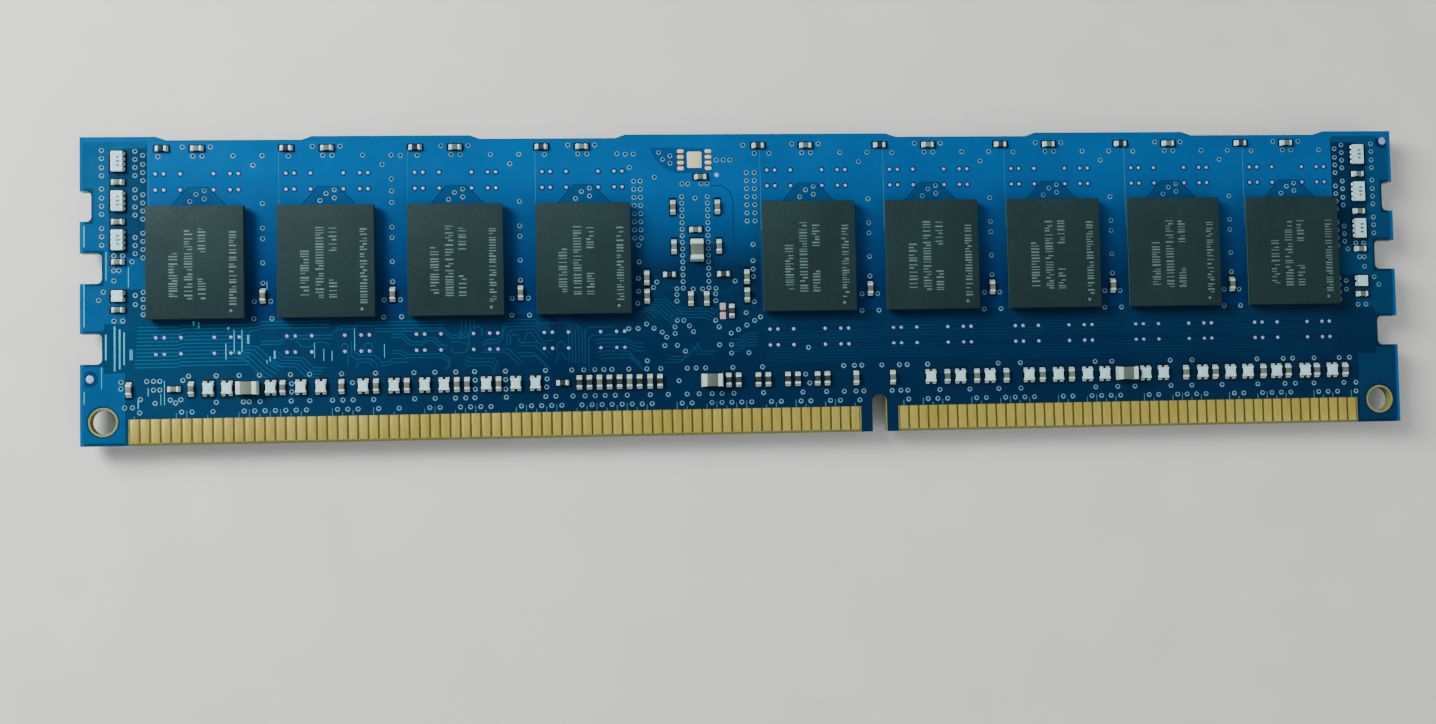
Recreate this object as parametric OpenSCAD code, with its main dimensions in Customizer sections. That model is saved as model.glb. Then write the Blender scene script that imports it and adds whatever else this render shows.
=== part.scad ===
// Registered memory module: a printed board with edge contacts, ball-grid packages on both faces,
// a register chip at the middle of the lower face, and rows of small chip parts.
//
// Shapes are drawn in board coordinates: X from the left end, Y from the contact edge, Z from the
// lower face of the packages underneath. in_frame() moves them to the row frame, whose origin is the
// bottom centre of the whole module. The module lies flat, with its upper face towards +Z.

/* [Board] */
// Length of the board
board_l = 133.35; // [133.2:0.05:133.5]
// Height of the board at its raised edge tabs
board_h = 30.35; // [30.05:0.05:30.4]
// Thickness over both mask faces
board_t = 1.27; // [1.17:0.01:1.37]
// Thickness of the solder mask on each face
mask_t = 0.03; // [0.02:0.01:0.05]
// How far the top edge drops between its raised tabs
edge_drop = 0.35; // [0.05:0.05:0.4]
// Width of each slope between a raised tab and a drop
edge_ramp = 1.0; // [0.5:0.1:1.5]

/* [Notches and holes] */
// X of the key notch's centre
key_x = 78.675; // [78.5:0.005:78.8]
// Width of the key notch
key_w = 1.5; // [1.4:0.05:1.6]
// Depth of the key notch
key_depth = 3.75; // [3.3:0.05:4]
// Width of each retention notch
notch_w = 3.0; // [2.5:0.1:3.5]
// Corner radius inside a retention notch
notch_r = 0.5; // [0.2:0.1:1]
// Diameter of the corner holes
hole_d = 2.5; // [2.3:0.1:2.6]
// Distance of a corner hole from the nearer end
hole_x = 2.175; // [2:0.025:2.4]
// Distance of a corner hole from the contact edge
hole_y = 2.35; // [2.2:0.05:2.5]

/* [Contacts] */
// Spacing of the edge contacts
contact_pitch = 1.0; // [0.98:0.01:1.02]
// Width of a contact
contact_w = 0.8; // [0.7:0.05:0.85]
// Height of a contact
contact_h = 2.3; // [2:0.1:2.5]
// Bare strip between the contacts and the board's edge
contact_gap = 0.25; // [0.2:0.05:0.35]
// Plated thickness of a contact
contact_t = 0.04; // [0.03:0.01:0.06]
// X of the first contact's centre
contact_x = 5.175; // [5.1:0.025:5.25]
// Contacts in the long group
long_count = 72; // [60:1:72]
// Contacts in the short group
short_count = 48; // [40:1:48]
// Depth and height of the bevel under the contacts
bevel = 0.2; // [0.1:0.05:0.25]

/* [Memory packages] */
// Width of a package along X
dram_w = 9.4; // [8:0.1:10]
// Length of a package along Y
dram_l = 11.1; // [10:0.1:12]
// X of the first package's centre
dram_x0 = 11.25; // [11:0.05:11.5]
// Spacing of the packages
dram_pitch = 12.6; // [12.3:0.1:12.8]
// Y of the packages' centres
dram_y = 17.8; // [17.4:0.1:18.2]
// Height of the solder balls
ball_h = 0.3; // [0.25:0.05:0.35]
// Thickness of the substrate
substrate_t = 0.22; // [0.2:0.01:0.3]
// Thickness of the moulded cap
mould_t = 0.68; // [0.6:0.02:0.8]
// Spacing of the solder balls
ball_pitch = 0.8; // [0.75:0.05:0.8]
// Diameter of a solder ball
ball_d = 0.45; // [0.4:0.01:0.5]

/* [Register chip] */
// Width of the register along X
register_w = 8.0; // [7:0.5:9]
// Length of the register along Y
register_l = 13.5; // [12:0.5:14]
// X of the middle of the board's component field, where the register sits
middle_x = 60.35; // [60.2:0.05:60.5]
// Y of the register's centre
register_y = 17.8; // [17:0.1:18.5]
// Thickness of the register's moulded cap
register_mould_t = 0.6; // [0.5:0.05:0.65]

/* [Chip parts] */
// Body size of a small two-lead part: length, width, height
small_size = [1.0, 0.5, 0.38]; // [0.3:0.01:1.2]
// Body size of a four-lead array: along the leads, across them, height
quad_size = [1.05, 1.1, 0.42]; // [0.3:0.01:1.4]
// Body size of an eight-lead array: along the leads, across them, height
octo_size = [1.1, 2.0, 0.45]; // [0.3:0.05:2.2]
// Body size of a large capacitor: length, width, height
bulk_size = [2.0, 1.25, 0.85]; // [0.6:0.05:2.2]
// Length of a metal end on a small part or an array
end_l = 0.22; // [0.15:0.01:0.25]
// Length of a metal end on a large capacitor
bulk_end_l = 0.45; // [0.3:0.05:0.5]
// Y of the row of chip parts above the contacts
row_y = 5.45; // [5.3:0.05:5.6]
// Y of the chip parts along the top edge
top_y = 29.15; // [29:0.05:29.3]

/* [Lands] */
// Diameter of a test land
land_d = 0.4; // [0.3:0.05:0.5]
// Height of a land above the mask
land_t = 0.01; // [0.01:0.005:0.02]

/* [Hidden] */

// Heights of the stack, from the lower face of the packages underneath
package_h = ball_h + substrate_t + mould_t;
laminate_z = package_h + mask_t;
laminate_t = board_t - 2 * mask_t;
top_z = package_h + board_t;
middle_z = package_h + board_t / 2;
overshoot = 1;

// Centres of the memory packages: four counted from the left end, five from the right
dram_centres = concat(
    [for (i = [0:3]) dram_x0 + i * dram_pitch],
    [for (i = [4:-1:0]) board_l - dram_x0 - i * dram_pitch]);

// Where the top edge drops on the left half, from one tab's end to the next; the right half mirrors it
left_drops = [[7.3, 22.4], [37.9, 53.4]];
drops = concat(left_drops, [for (ends = left_drops) [board_l - ends[1], board_l - ends[0]]]);
// Retention notches: Y of the centre, depth
notches = [[9.5, 2.1], [17.4, 2.1], [23.5, 1.1]];

// First contact of the short group: the key takes the place of three contacts
short_x = contact_x + (long_count + 4) * contact_pitch;
// Mask openings over the contacts: left end, right end
field_margin = 0.6;
contact_fields = [
    [contact_x - field_margin, contact_x + (long_count - 1) * contact_pitch + field_margin],
    [short_x - field_margin, short_x + (short_count - 1) * contact_pitch + field_margin]];
contact_field_y = contact_gap + contact_h + 0.05;
// Ring of bare laminate round a corner hole
hole_ring = 0.18;

// X of the four-lead arrays, small capacitors and large capacitors in the row above the contacts
array_xs = [12.25, 14.05, 18.25, 21.15, 23.1, 27.2, 30.2, 33.2, 35.1, 39.25, 42.15, 44.1,
            84.0, 87.05, 90.1, 94.15, 97.2, 100.25, 102.05, 106.35, 108.2, 112.35, 115.3, 117.15,
            120.2, 123.25, 126.15];
row_capacitor_xs = [4.65, 10.6, 19.4, 25.1, 28.45, 31.45, 36.35, 37.35, 40.45,
                    50.45, 53.45, 55.5, 76.35, 80.1,
                    85.7, 88.75, 91.8, 95.55, 98.6, 110.6, 113.7, 118.8, 121.45, 124.5, 127.55];
row_resistor_xs = [48.45, 49.45, 51.45, 52.45, 54.45, 56.5,
                   63.4, 64.4, 66.4, 67.4, 69.4, 70.4, 72.4, 73.4];
row_bulk_xs = [16.0, 61.75, 104.35];
// Two-lead parts of the row that lie along X
row_flat_capacitor_x = 8.95;
row_flat_resistor_x = 46.8;

// X of the resistors along the top edge
top_resistor_xs = [7.85, 19.9, 32.5, 45.0, 66.85, 79.3, 91.85, 104.45, 117.2];

// Y of the eight-lead arrays at each end, of the two-lead parts between them, and of the pair below
octo_ys = [27.9, 24.0, 20.15];
end_flat_ys = [25.85, 21.95, 18.0, 13.3];
end_quad_y = 14.65;
end_x = 3.65;

// Parts round the middle of the board, from its centre line: X shift, Y, turned upright or not
middle_capacitors = [
    [0.6, 26.0, false], [0.0, 20.65, false],
    [-2.25, 22.95, true], [2.25, 22.95, true], [-2.2, 18.95, true], [2.35, 18.95, true],
    [-5.0, 15.85, true], [5.1, 15.85, true], [-5.0, 14.0, true], [5.1, 14.0, true],
    [-0.6, 13.7, true], [1.0, 13.7, true]];
middle_resistors = [[-2.7, 16.15, false], [2.75, 16.15, false], [3.5, 12.4, true]];
middle_bulk_x = middle_x + 0.1;
middle_bulk_y = 18.6;

// Small capacitor in each gap between neighbouring packages
gap_capacitor_y = 14.5;
gap_capacitor_groups = [0, 1, 2, 4, 5, 6, 7];

// Test lands round each package: X from its centre, and Y
land_xs = [-4.0, -3.2, -1.6, 1.6, 3.2, 4.0];
land_ys = [26.65, 25.05, 10.5, 8.9];

// Ball columns and rows of a memory package, in ball spacings from its centre
ball_columns = [-4, -3, -2, 2, 3, 4];
ball_last_row = 6;
// Silicon inside the packages: width, length, thickness
die_size = [7.6, 8.8, 0.3];
register_die_size = [5.2, 7.2, 0.28];
// The register's balls are finer than those of the packages
register_ball_pitch = 0.65;
register_ball_d = 0.36;
register_columns = 5;
register_last_row = 9.5;
// Balls are left out of the register's middle: this many columns and rows from its centre
register_bare = [1, 7];

// Temperature sensor on the lower face, and the size of one of its leads
sensor_y = 27.75;
sensor_pin_pitch = 0.5;
sensor_size = [2.0, 3.0, 0.75];
sensor_lead_size = [0.35, 0.28, 0.2];
// Its vacant footprint on the upper face: pads, and how far they are from the centre and each other
sensor_pad_size = [0.75, 0.36, land_t];
sensor_pad_reach = 1.4;
sensor_pad_spacing = 0.58;
sensor_centre_pad = [1.45, 1.65, land_t];

// Spacing and width of the metal ends along an array's side
quad_pitch = 0.66;
quad_end_w = 0.36;
octo_pitch = 0.5;
octo_end_w = 0.3;

// Vacant two-pad position beside the middle
vacant_resistor = [62.95, 12.4];
resistor_pad_size = [0.68, 0.68, land_t];
resistor_pad_reach = 0.47;

fiducial_spots = [[0.95, 6.55], [132.5, 29.3]];
fiducial_d = 0.8;

module in_frame() {
    translate([-board_l / 2, -board_h / 2, 0]) children();
}

// Puts shapes that stand on the upper mask face onto the chosen face of the board
module on_face(under) {
    if (under)
        translate([0, 0, 2 * middle_z]) mirror([0, 0, 1]) translate([0, 0, top_z]) children();
    else
        translate([0, 0, top_z]) children();
}

module block(size) {
    translate([-size.x / 2, -size.y / 2, 0]) cube(size);
}

// ---- board ----

module top_drop(ends) {
    polygon([[ends[0], board_h + overshoot], [ends[0], board_h],
             [ends[0] + edge_ramp, board_h - edge_drop], [ends[1] - edge_ramp, board_h - edge_drop],
             [ends[1], board_h], [ends[1], board_h + overshoot]]);
}

// Retention notch cut in from the left end, with rounded inner corners
module retention_notch(centre_y, depth) {
    half = notch_w / 2 - notch_r;
    translate([-overshoot, centre_y]) {
        translate([0, -notch_w / 2]) square([depth - notch_r + overshoot, notch_w]);
        translate([0, -half]) square([depth + overshoot, 2 * half]);
        for (side = [-1, 1])
            translate([depth - notch_r + overshoot, side * half]) circle(r = notch_r, $fn = 32);
    }
}

module both_ends() {
    children();
    translate([board_l, 0]) mirror([1, 0]) children();
}

module key_notch() {
    straight = key_depth - key_w / 2;
    translate([key_x - key_w / 2, -overshoot]) square([key_w, straight + overshoot]);
    translate([key_x, straight]) circle(d = key_w, $fn = 48);
}

module board_outline(corner_hole_d) {
    difference() {
        square([board_l, board_h]);
        for (ends = drops) top_drop(ends);
        key_notch();
        both_ends() {
            for (notch = notches) retention_notch(notch[0], notch[1]);
            translate([hole_x, hole_y]) circle(d = corner_hole_d, $fn = 64);
        }
    }
}

// Triangular cut that bevels the contact edge on the upper face
module bevel_cut(field) {
    translate([field[0], 0, laminate_t]) rotate([90, 0, 90])
        linear_extrude(field[1] - field[0])
            polygon([[-overshoot, overshoot], [-overshoot, -bevel], [0, -bevel],
                     [bevel, 0], [bevel, overshoot]]);
}

module pcb_laminate() {
    color("olivedrab") in_frame() translate([0, 0, laminate_z]) difference() {
        linear_extrude(laminate_t) board_outline(hole_d);
        for (field = contact_fields) {
            bevel_cut(field);
            translate([0, 0, laminate_t]) mirror([0, 0, 1]) bevel_cut(field);
        }
    }
}

module mask_sheet() {
    linear_extrude(mask_t) difference() {
        board_outline(hole_d + 2 * hole_ring);
        for (field = contact_fields)
            translate([field[0], -overshoot]) square([field[1] - field[0], contact_field_y + overshoot]);
    }
}

module solder_mask(under) {
    color("royalblue") in_frame() on_face(under) translate([0, 0, -mask_t]) mask_sheet();
}

module contact_group(first_x, count, under) {
    color("gold") in_frame() on_face(under) translate([first_x, contact_gap, -mask_t])
        for (i = [0:count - 1])
            translate([i * contact_pitch - contact_w / 2, 0, 0]) cube([contact_w, contact_h, contact_t]);
}

// ---- ball-grid packages ----

module at_dram(i) {
    translate([dram_centres[i], dram_y, 0]) children();
}

// Moulded cap with a pocket in its lower face that holds the die
module cap_with_pocket(size, die) {
    difference() {
        block(size);
        translate([0, 0, -overshoot]) block([die.x, die.y, die.z + overshoot]);
    }
}

module dram_cap(i, under) {
    color("darkslategray") in_frame() on_face(under) at_dram(i)
        translate([0, 0, ball_h + substrate_t]) cap_with_pocket([dram_w, dram_l, mould_t], die_size);
}

module dram_substrates(under) {
    color("darkgreen") in_frame() on_face(under)
        for (i = [0:8]) at_dram(i) translate([0, 0, ball_h]) block([dram_w, dram_l, substrate_t]);
}

module dram_dies(under) {
    color("silver") in_frame() on_face(under)
        for (i = [0:8]) at_dram(i) translate([0, 0, ball_h + substrate_t]) block(die_size);
}

// Two bands of three ball columns, thirteen balls each
module ball_grid() {
    for (column = ball_columns, row = [-ball_last_row:ball_last_row])
        translate([column * ball_pitch, row * ball_pitch, 0]) cylinder(h = ball_h, d = ball_d, $fn = 24);
}

module dram_balls(under) {
    color("lightgray") in_frame() on_face(under)
        for (i = [0:8]) at_dram(i) ball_grid();
}

module at_register() {
    in_frame() on_face(true) translate([middle_x, register_y, 0]) children();
}

module register_mould() {
    color("darkslategray") at_register() translate([0, 0, ball_h + substrate_t])
        cap_with_pocket([register_w, register_l, register_mould_t], register_die_size);
}

module register_substrate() {
    color("darkgreen") at_register() translate([0, 0, ball_h])
        block([register_w, register_l, substrate_t]);
}

module register_die() {
    color("silver") at_register() translate([0, 0, ball_h + substrate_t]) block(register_die_size);
}

// Eleven columns of twenty balls, with a gap three columns wide down the middle
module register_balls() {
    color("lightgray") at_register()
        for (column = [-register_columns:register_columns],
             row = [-register_last_row:register_last_row])
            if (abs(column) > register_bare[0] || abs(row) > register_bare[1])
                translate([column * register_ball_pitch, row * register_ball_pitch, 0])
                    cylinder(h = ball_h, d = register_ball_d, $fn = 24);
}

// ---- temperature sensor ----

module at_sensor() {
    in_frame() on_face(true) translate([middle_x, sensor_y, 0]) children();
}

module sensor_lead_pair() {
    for (side = [-1, 1])
        translate([side * (sensor_size.x - sensor_lead_size.x) / 2, 0, 0]) block(sensor_lead_size);
}

module sensor_lead_rows() {
    for (pin = [-1.5:1.5]) translate([0, pin * sensor_pin_pitch, 0]) sensor_lead_pair();
}

// Leadless body: its leads are let into the lower edges, flush with the sides
module sensor_body() {
    color("dimgray") at_sensor() difference() {
        block(sensor_size);
        sensor_lead_rows();
    }
}

module sensor_leads() {
    color("silver") at_sensor() sensor_lead_rows();
}

// ---- chip parts ----
// Each part is a ceramic body between metal ends. A part's leads point along its own X.

module two_lead_body(size, end) {
    block([size.x - 2 * end, size.y, size.z]);
}

module two_lead_ends(size, end) {
    for (side = [-1, 1])
        translate([side * (size.x - end) / 2, 0, 0]) block([end, size.y, size.z]);
}

// Metal ends of an array, spaced evenly along its own Y
module array_ends(size, pairs, pitch, width) {
    for (side = [-1, 1], k = [0:pairs - 1])
        translate([side * (size.x - end_l) / 2, (k - (pairs - 1) / 2) * pitch, 0])
            block([end_l, width, size.z]);
}

module array_body(size, pairs, pitch, width) {
    difference() {
        block(size);
        array_ends(size, pairs, pitch, width);
    }
}

module quad_body() { array_body(quad_size, 2, quad_pitch, quad_end_w); }
module quad_ends() { array_ends(quad_size, 2, quad_pitch, quad_end_w); }
module octo_body() { array_body(octo_size, 4, octo_pitch, octo_end_w); }
module octo_ends() { array_ends(octo_size, 4, octo_pitch, octo_end_w); }

module upright() { rotate([0, 0, 90]) children(); }

module at_row_arrays() {
    for (x = array_xs) translate([x, row_y, 0]) upright() children();
}

// The eight-lead arrays and the four-lead array at both ends of the board
module at_end_octos() {
    for (x = [end_x, board_l - end_x], y = octo_ys) translate([x, y, 0]) children();
}

module at_end_quads() {
    for (x = [end_x, board_l - end_x]) translate([x, end_quad_y, 0]) children();
}

module at_end_flats() {
    for (x = [end_x, board_l - end_x], y = end_flat_ys) translate([x, y, 0]) children();
}

module at_row_capacitors() {
    for (x = row_capacitor_xs) translate([x, row_y, 0]) upright() children();
    translate([row_flat_capacitor_x, row_y, 0]) children();
}

// One capacitor over each package's middle, one in each gap between packages, and the middle group
module at_top_capacitors() {
    for (x = dram_centres) translate([x, top_y, 0]) children();
}

module at_gap_capacitors() {
    for (i = gap_capacitor_groups)
        translate([dram_centres[i] + dram_pitch / 2, gap_capacitor_y, 0]) upright() children();
}

module at_middle(spots) {
    for (spot = spots)
        translate([middle_x + spot[0], spot[1], 0]) rotate([0, 0, spot[2] ? 90 : 0]) children();
}

module at_row_resistors() {
    for (x = row_resistor_xs) translate([x, row_y, 0]) upright() children();
    translate([row_flat_resistor_x, row_y, 0]) children();
}

module at_top_resistors() {
    for (x = top_resistor_xs) translate([x, top_y, 0]) children();
}

module at_row_bulks() {
    for (x = row_bulk_xs) translate([x, row_y, 0]) children();
}

module end_array_bodies() {
    color("whitesmoke") in_frame() on_face(false) {
        at_end_octos() octo_body();
        at_end_quads() quad_body();
    }
}

module end_array_terminals() {
    color("gainsboro") in_frame() on_face(false) {
        at_end_octos() octo_ends();
        at_end_quads() quad_ends();
    }
}

module row_array_bodies() {
    color("whitesmoke") in_frame() on_face(false) at_row_arrays() quad_body();
}

module row_array_terminals() {
    color("gainsboro") in_frame() on_face(false) at_row_arrays() quad_ends();
}

module resistor_spots() {
    at_row_resistors() children();
    at_top_resistors() children();
    at_middle(middle_resistors) children();
}

module resistor_bodies() {
    color("dimgray") in_frame() on_face(false) resistor_spots() two_lead_body(small_size, end_l);
}

module resistor_terminals() {
    color("gainsboro") in_frame() on_face(false) resistor_spots() two_lead_ends(small_size, end_l);
}

module capacitor_spots() {
    at_row_capacitors() children();
    at_top_capacitors() children();
    at_gap_capacitors() children();
    at_end_flats() children();
    at_middle(middle_capacitors) children();
}

module capacitor_bodies() {
    color("tan") in_frame() on_face(false) capacitor_spots() two_lead_body(small_size, end_l);
}

module capacitor_terminals() {
    color("gainsboro") in_frame() on_face(false) capacitor_spots() two_lead_ends(small_size, end_l);
}

module bulk_spots() {
    at_row_bulks() children();
    translate([middle_bulk_x, middle_bulk_y, 0]) upright() children();
}

module bulk_capacitor_bodies() {
    color("rosybrown") in_frame() on_face(false) bulk_spots() two_lead_body(bulk_size, bulk_end_l);
}

module bulk_capacitor_terminals() {
    color("gainsboro") in_frame() on_face(false) bulk_spots() two_lead_ends(bulk_size, bulk_end_l);
}

// The lower face repeats the rows of chip parts that feed the packages and the contacts

module underside_array_bodies() {
    color("whitesmoke") in_frame() on_face(true) {
        at_row_arrays() quad_body();
        at_end_octos() octo_body();
    }
}

module underside_array_terminals() {
    color("gainsboro") in_frame() on_face(true) {
        at_row_arrays() quad_ends();
        at_end_octos() octo_ends();
    }
}

module underside_capacitor_spots() {
    at_row_capacitors() children();
    at_top_capacitors() children();
    at_gap_capacitors() children();
    at_row_resistors() children();
}

module underside_capacitor_bodies() {
    color("tan") in_frame() on_face(true) underside_capacitor_spots() two_lead_body(small_size, end_l);
}

module underside_capacitor_terminals() {
    color("gainsboro") in_frame() on_face(true)
        underside_capacitor_spots() two_lead_ends(small_size, end_l);
}

// ---- lands ----

module test_lands(under) {
    color("thistle") in_frame() on_face(under)
        for (centre = dram_centres, dx = land_xs, y = land_ys)
            translate([centre + dx, y, 0]) cylinder(h = land_t, d = land_d, $fn = 24);
}

module vacant_sensor_pads() {
    color("bisque") in_frame() on_face(false) translate([middle_x, sensor_y, 0]) {
        block(sensor_centre_pad);
        for (side = [-1, 1], pin = [-1.5:1.5])
            translate([side * sensor_pad_reach, pin * sensor_pad_spacing, 0]) block(sensor_pad_size);
    }
}

module vacant_resistor_pads() {
    color("rosybrown") in_frame() on_face(false) translate([vacant_resistor.x, vacant_resistor.y, 0])
        for (side = [-1, 1]) translate([0, side * resistor_pad_reach, 0]) block(resistor_pad_size);
}

module fiducials() {
    color("mistyrose") in_frame() on_face(false)
        for (spot = fiducial_spots)
            translate([spot.x, spot.y, 0]) cylinder(h = land_t, d = fiducial_d, $fn = 32);
}

// ---- assembly ----

pcb_laminate();
solder_mask(false);  // solder_mask_top
solder_mask(true);  // solder_mask_underside
contact_group(contact_x, long_count, false);  // contacts_top_long
contact_group(short_x, short_count, false);  // contacts_top_short
contact_group(contact_x, long_count, true);  // contacts_underside_long
contact_group(short_x, short_count, true);  // contacts_underside_short
for (i = [1:9]) {
    dram_cap(i - 1, false);
    dram_cap(i - 1, true);
}
dram_substrates(false);  // dram_substrates_top
dram_substrates(true);  // dram_substrates_underside
dram_balls(false);  // dram_balls_top
dram_balls(true);  // dram_balls_underside
dram_dies(false);  // dram_dies_top
dram_dies(true);  // dram_dies_underside
register_mould();
register_substrate();
register_balls();
register_die();
sensor_body();
sensor_leads();
end_array_bodies();
end_array_terminals();
row_array_bodies();
row_array_terminals();
resistor_bodies();
resistor_terminals();
capacitor_bodies();
capacitor_terminals();
bulk_capacitor_bodies();
bulk_capacitor_terminals();
underside_array_bodies();
underside_array_terminals();
underside_capacitor_bodies();
underside_capacitor_terminals();
test_lands(false);  // test_lands_top
test_lands(true);  // test_lands_underside
vacant_sensor_pads();
vacant_resistor_pads();
fiducials();
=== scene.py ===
import math
import random

import bpy
from mathutils import Matrix, Vector


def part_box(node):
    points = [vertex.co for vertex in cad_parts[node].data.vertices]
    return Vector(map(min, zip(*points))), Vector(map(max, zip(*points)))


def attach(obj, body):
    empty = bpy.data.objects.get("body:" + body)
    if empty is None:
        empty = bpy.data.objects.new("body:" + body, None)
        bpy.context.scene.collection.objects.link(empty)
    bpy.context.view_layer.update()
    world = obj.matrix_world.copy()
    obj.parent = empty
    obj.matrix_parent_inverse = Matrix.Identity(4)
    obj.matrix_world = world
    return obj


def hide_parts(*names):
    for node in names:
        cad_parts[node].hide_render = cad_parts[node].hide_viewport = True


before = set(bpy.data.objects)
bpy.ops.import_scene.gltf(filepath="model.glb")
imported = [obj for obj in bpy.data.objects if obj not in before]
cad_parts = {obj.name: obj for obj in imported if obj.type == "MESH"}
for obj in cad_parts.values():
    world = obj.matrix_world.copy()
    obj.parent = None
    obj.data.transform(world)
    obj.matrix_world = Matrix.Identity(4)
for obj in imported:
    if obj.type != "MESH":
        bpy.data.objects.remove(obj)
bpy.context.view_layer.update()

# Shapes are written in board millimetres: X and Y from the board's lower left corner, and height
# above the solder mask of the face that they sit on. Face.place() turns them into the frame.
MM = 0.001
BOARD_LOW, BOARD_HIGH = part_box("pcb_laminate")
BOARD_L = (BOARD_HIGH.x - BOARD_LOW.x) / MM
BOARD_H = (BOARD_HIGH.y - BOARD_LOW.y) / MM

# Heights of thin layers above the mask, in millimetres. What lies over copper stands a little above it.
POUR_H = 0.012
CLEARANCE_H = POUR_H + 0.004
OPENING_H = POUR_H + 0.006
GAP_H = POUR_H + 0.009
FIELD_H = 0.006
TRACK_H = 0.018
RING_H = 0.026
LAND_H = 0.03
PAD_H = LAND_H + 0.008


class Face:
    """One face of the board, and the side that its parts stand on."""

    def __init__(self, name, under):
        self.name = name
        self.sign = -1 if under else 1
        self.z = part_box("solder_mask_" + name)[0 if under else 1].z

    def place(self, point):
        return (BOARD_LOW.x + point[0] * MM, BOARD_LOW.y + point[1] * MM, self.z + self.sign * point[2] * MM)

    def local(self, corner):
        return Vector(((corner.x - BOARD_LOW.x) / MM, (corner.y - BOARD_LOW.y) / MM,
                       self.sign * (corner.z - self.z) / MM))

    def boxes(self, node):
        """The separate solids of a CAD node, each as its lowest and highest corner on this face."""
        found = []
        for low, high in solids(node):
            a, b = self.local(low), self.local(high)
            found.append((Vector(map(min, a, b)), Vector(map(max, a, b))))
        return found


def solids(node):
    """Lowest and highest corners of each separate solid in a CAD node."""
    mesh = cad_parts[node].data
    keys = [tuple(round(c * 1e7) for c in v.co) for v in mesh.vertices]
    parent = {k: k for k in keys}

    def root(k):
        while parent[k] != k:
            parent[k] = parent[parent[k]]
            k = parent[k]
        return k

    for polygon in mesh.polygons:
        first = root(keys[polygon.vertices[0]])
        for v in polygon.vertices[1:]:
            other = root(keys[v])
            if other != first:
                parent[other] = first
    corners = {}
    for vertex, key in zip(mesh.vertices, keys):
        low, high = corners.setdefault(root(key), (Vector((9, 9, 9)), Vector((-9, -9, -9))))
        for axis in range(3):
            low[axis] = min(low[axis], vertex.co[axis])
            high[axis] = max(high[axis], vertex.co[axis])
    return sorted(corners.values(), key=lambda box: (round(box[0].x, 6), round(box[0].y, 6)))


TOP = Face("top", False)
UNDERSIDE = Face("underside", True)


# ---- shapes ----

def ring_rect(low, high, radius, z, inset=0.0, steps=2):
    """A rectangle with round corners, counter-clockwise."""
    x0, y0, x1, y1 = low[0] + inset, low[1] + inset, high[0] - inset, high[1] - inset
    r = min(radius, (x1 - x0) * 0.45, (y1 - y0) * 0.45)
    points = []
    corners = ((x1 - r, y1 - r), (x0 + r, y1 - r), (x0 + r, y0 + r), (x1 - r, y0 + r))
    for quarter, (cx, cy) in enumerate(corners):
        for k in range(steps + 1):
            a = math.radians(90 * quarter + 90 * k / steps)
            points.append((cx + r * math.cos(a), cy + r * math.sin(a), z))
    return points


def ring_circle(x, y, radius, z, count=16):
    angles = [2 * math.pi * k / count for k in range(count)]
    return [(x + radius * math.cos(a), y + radius * math.sin(a), z) for a in angles]


# Radius of a via's ring of mask and of its hole, and how far its dimple is off its centre
VIA_RING_R = 0.25
VIA_HOLE_R = 0.15
VIA_DIMPLE_SHIFT = (0.012, 0.03)


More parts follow.
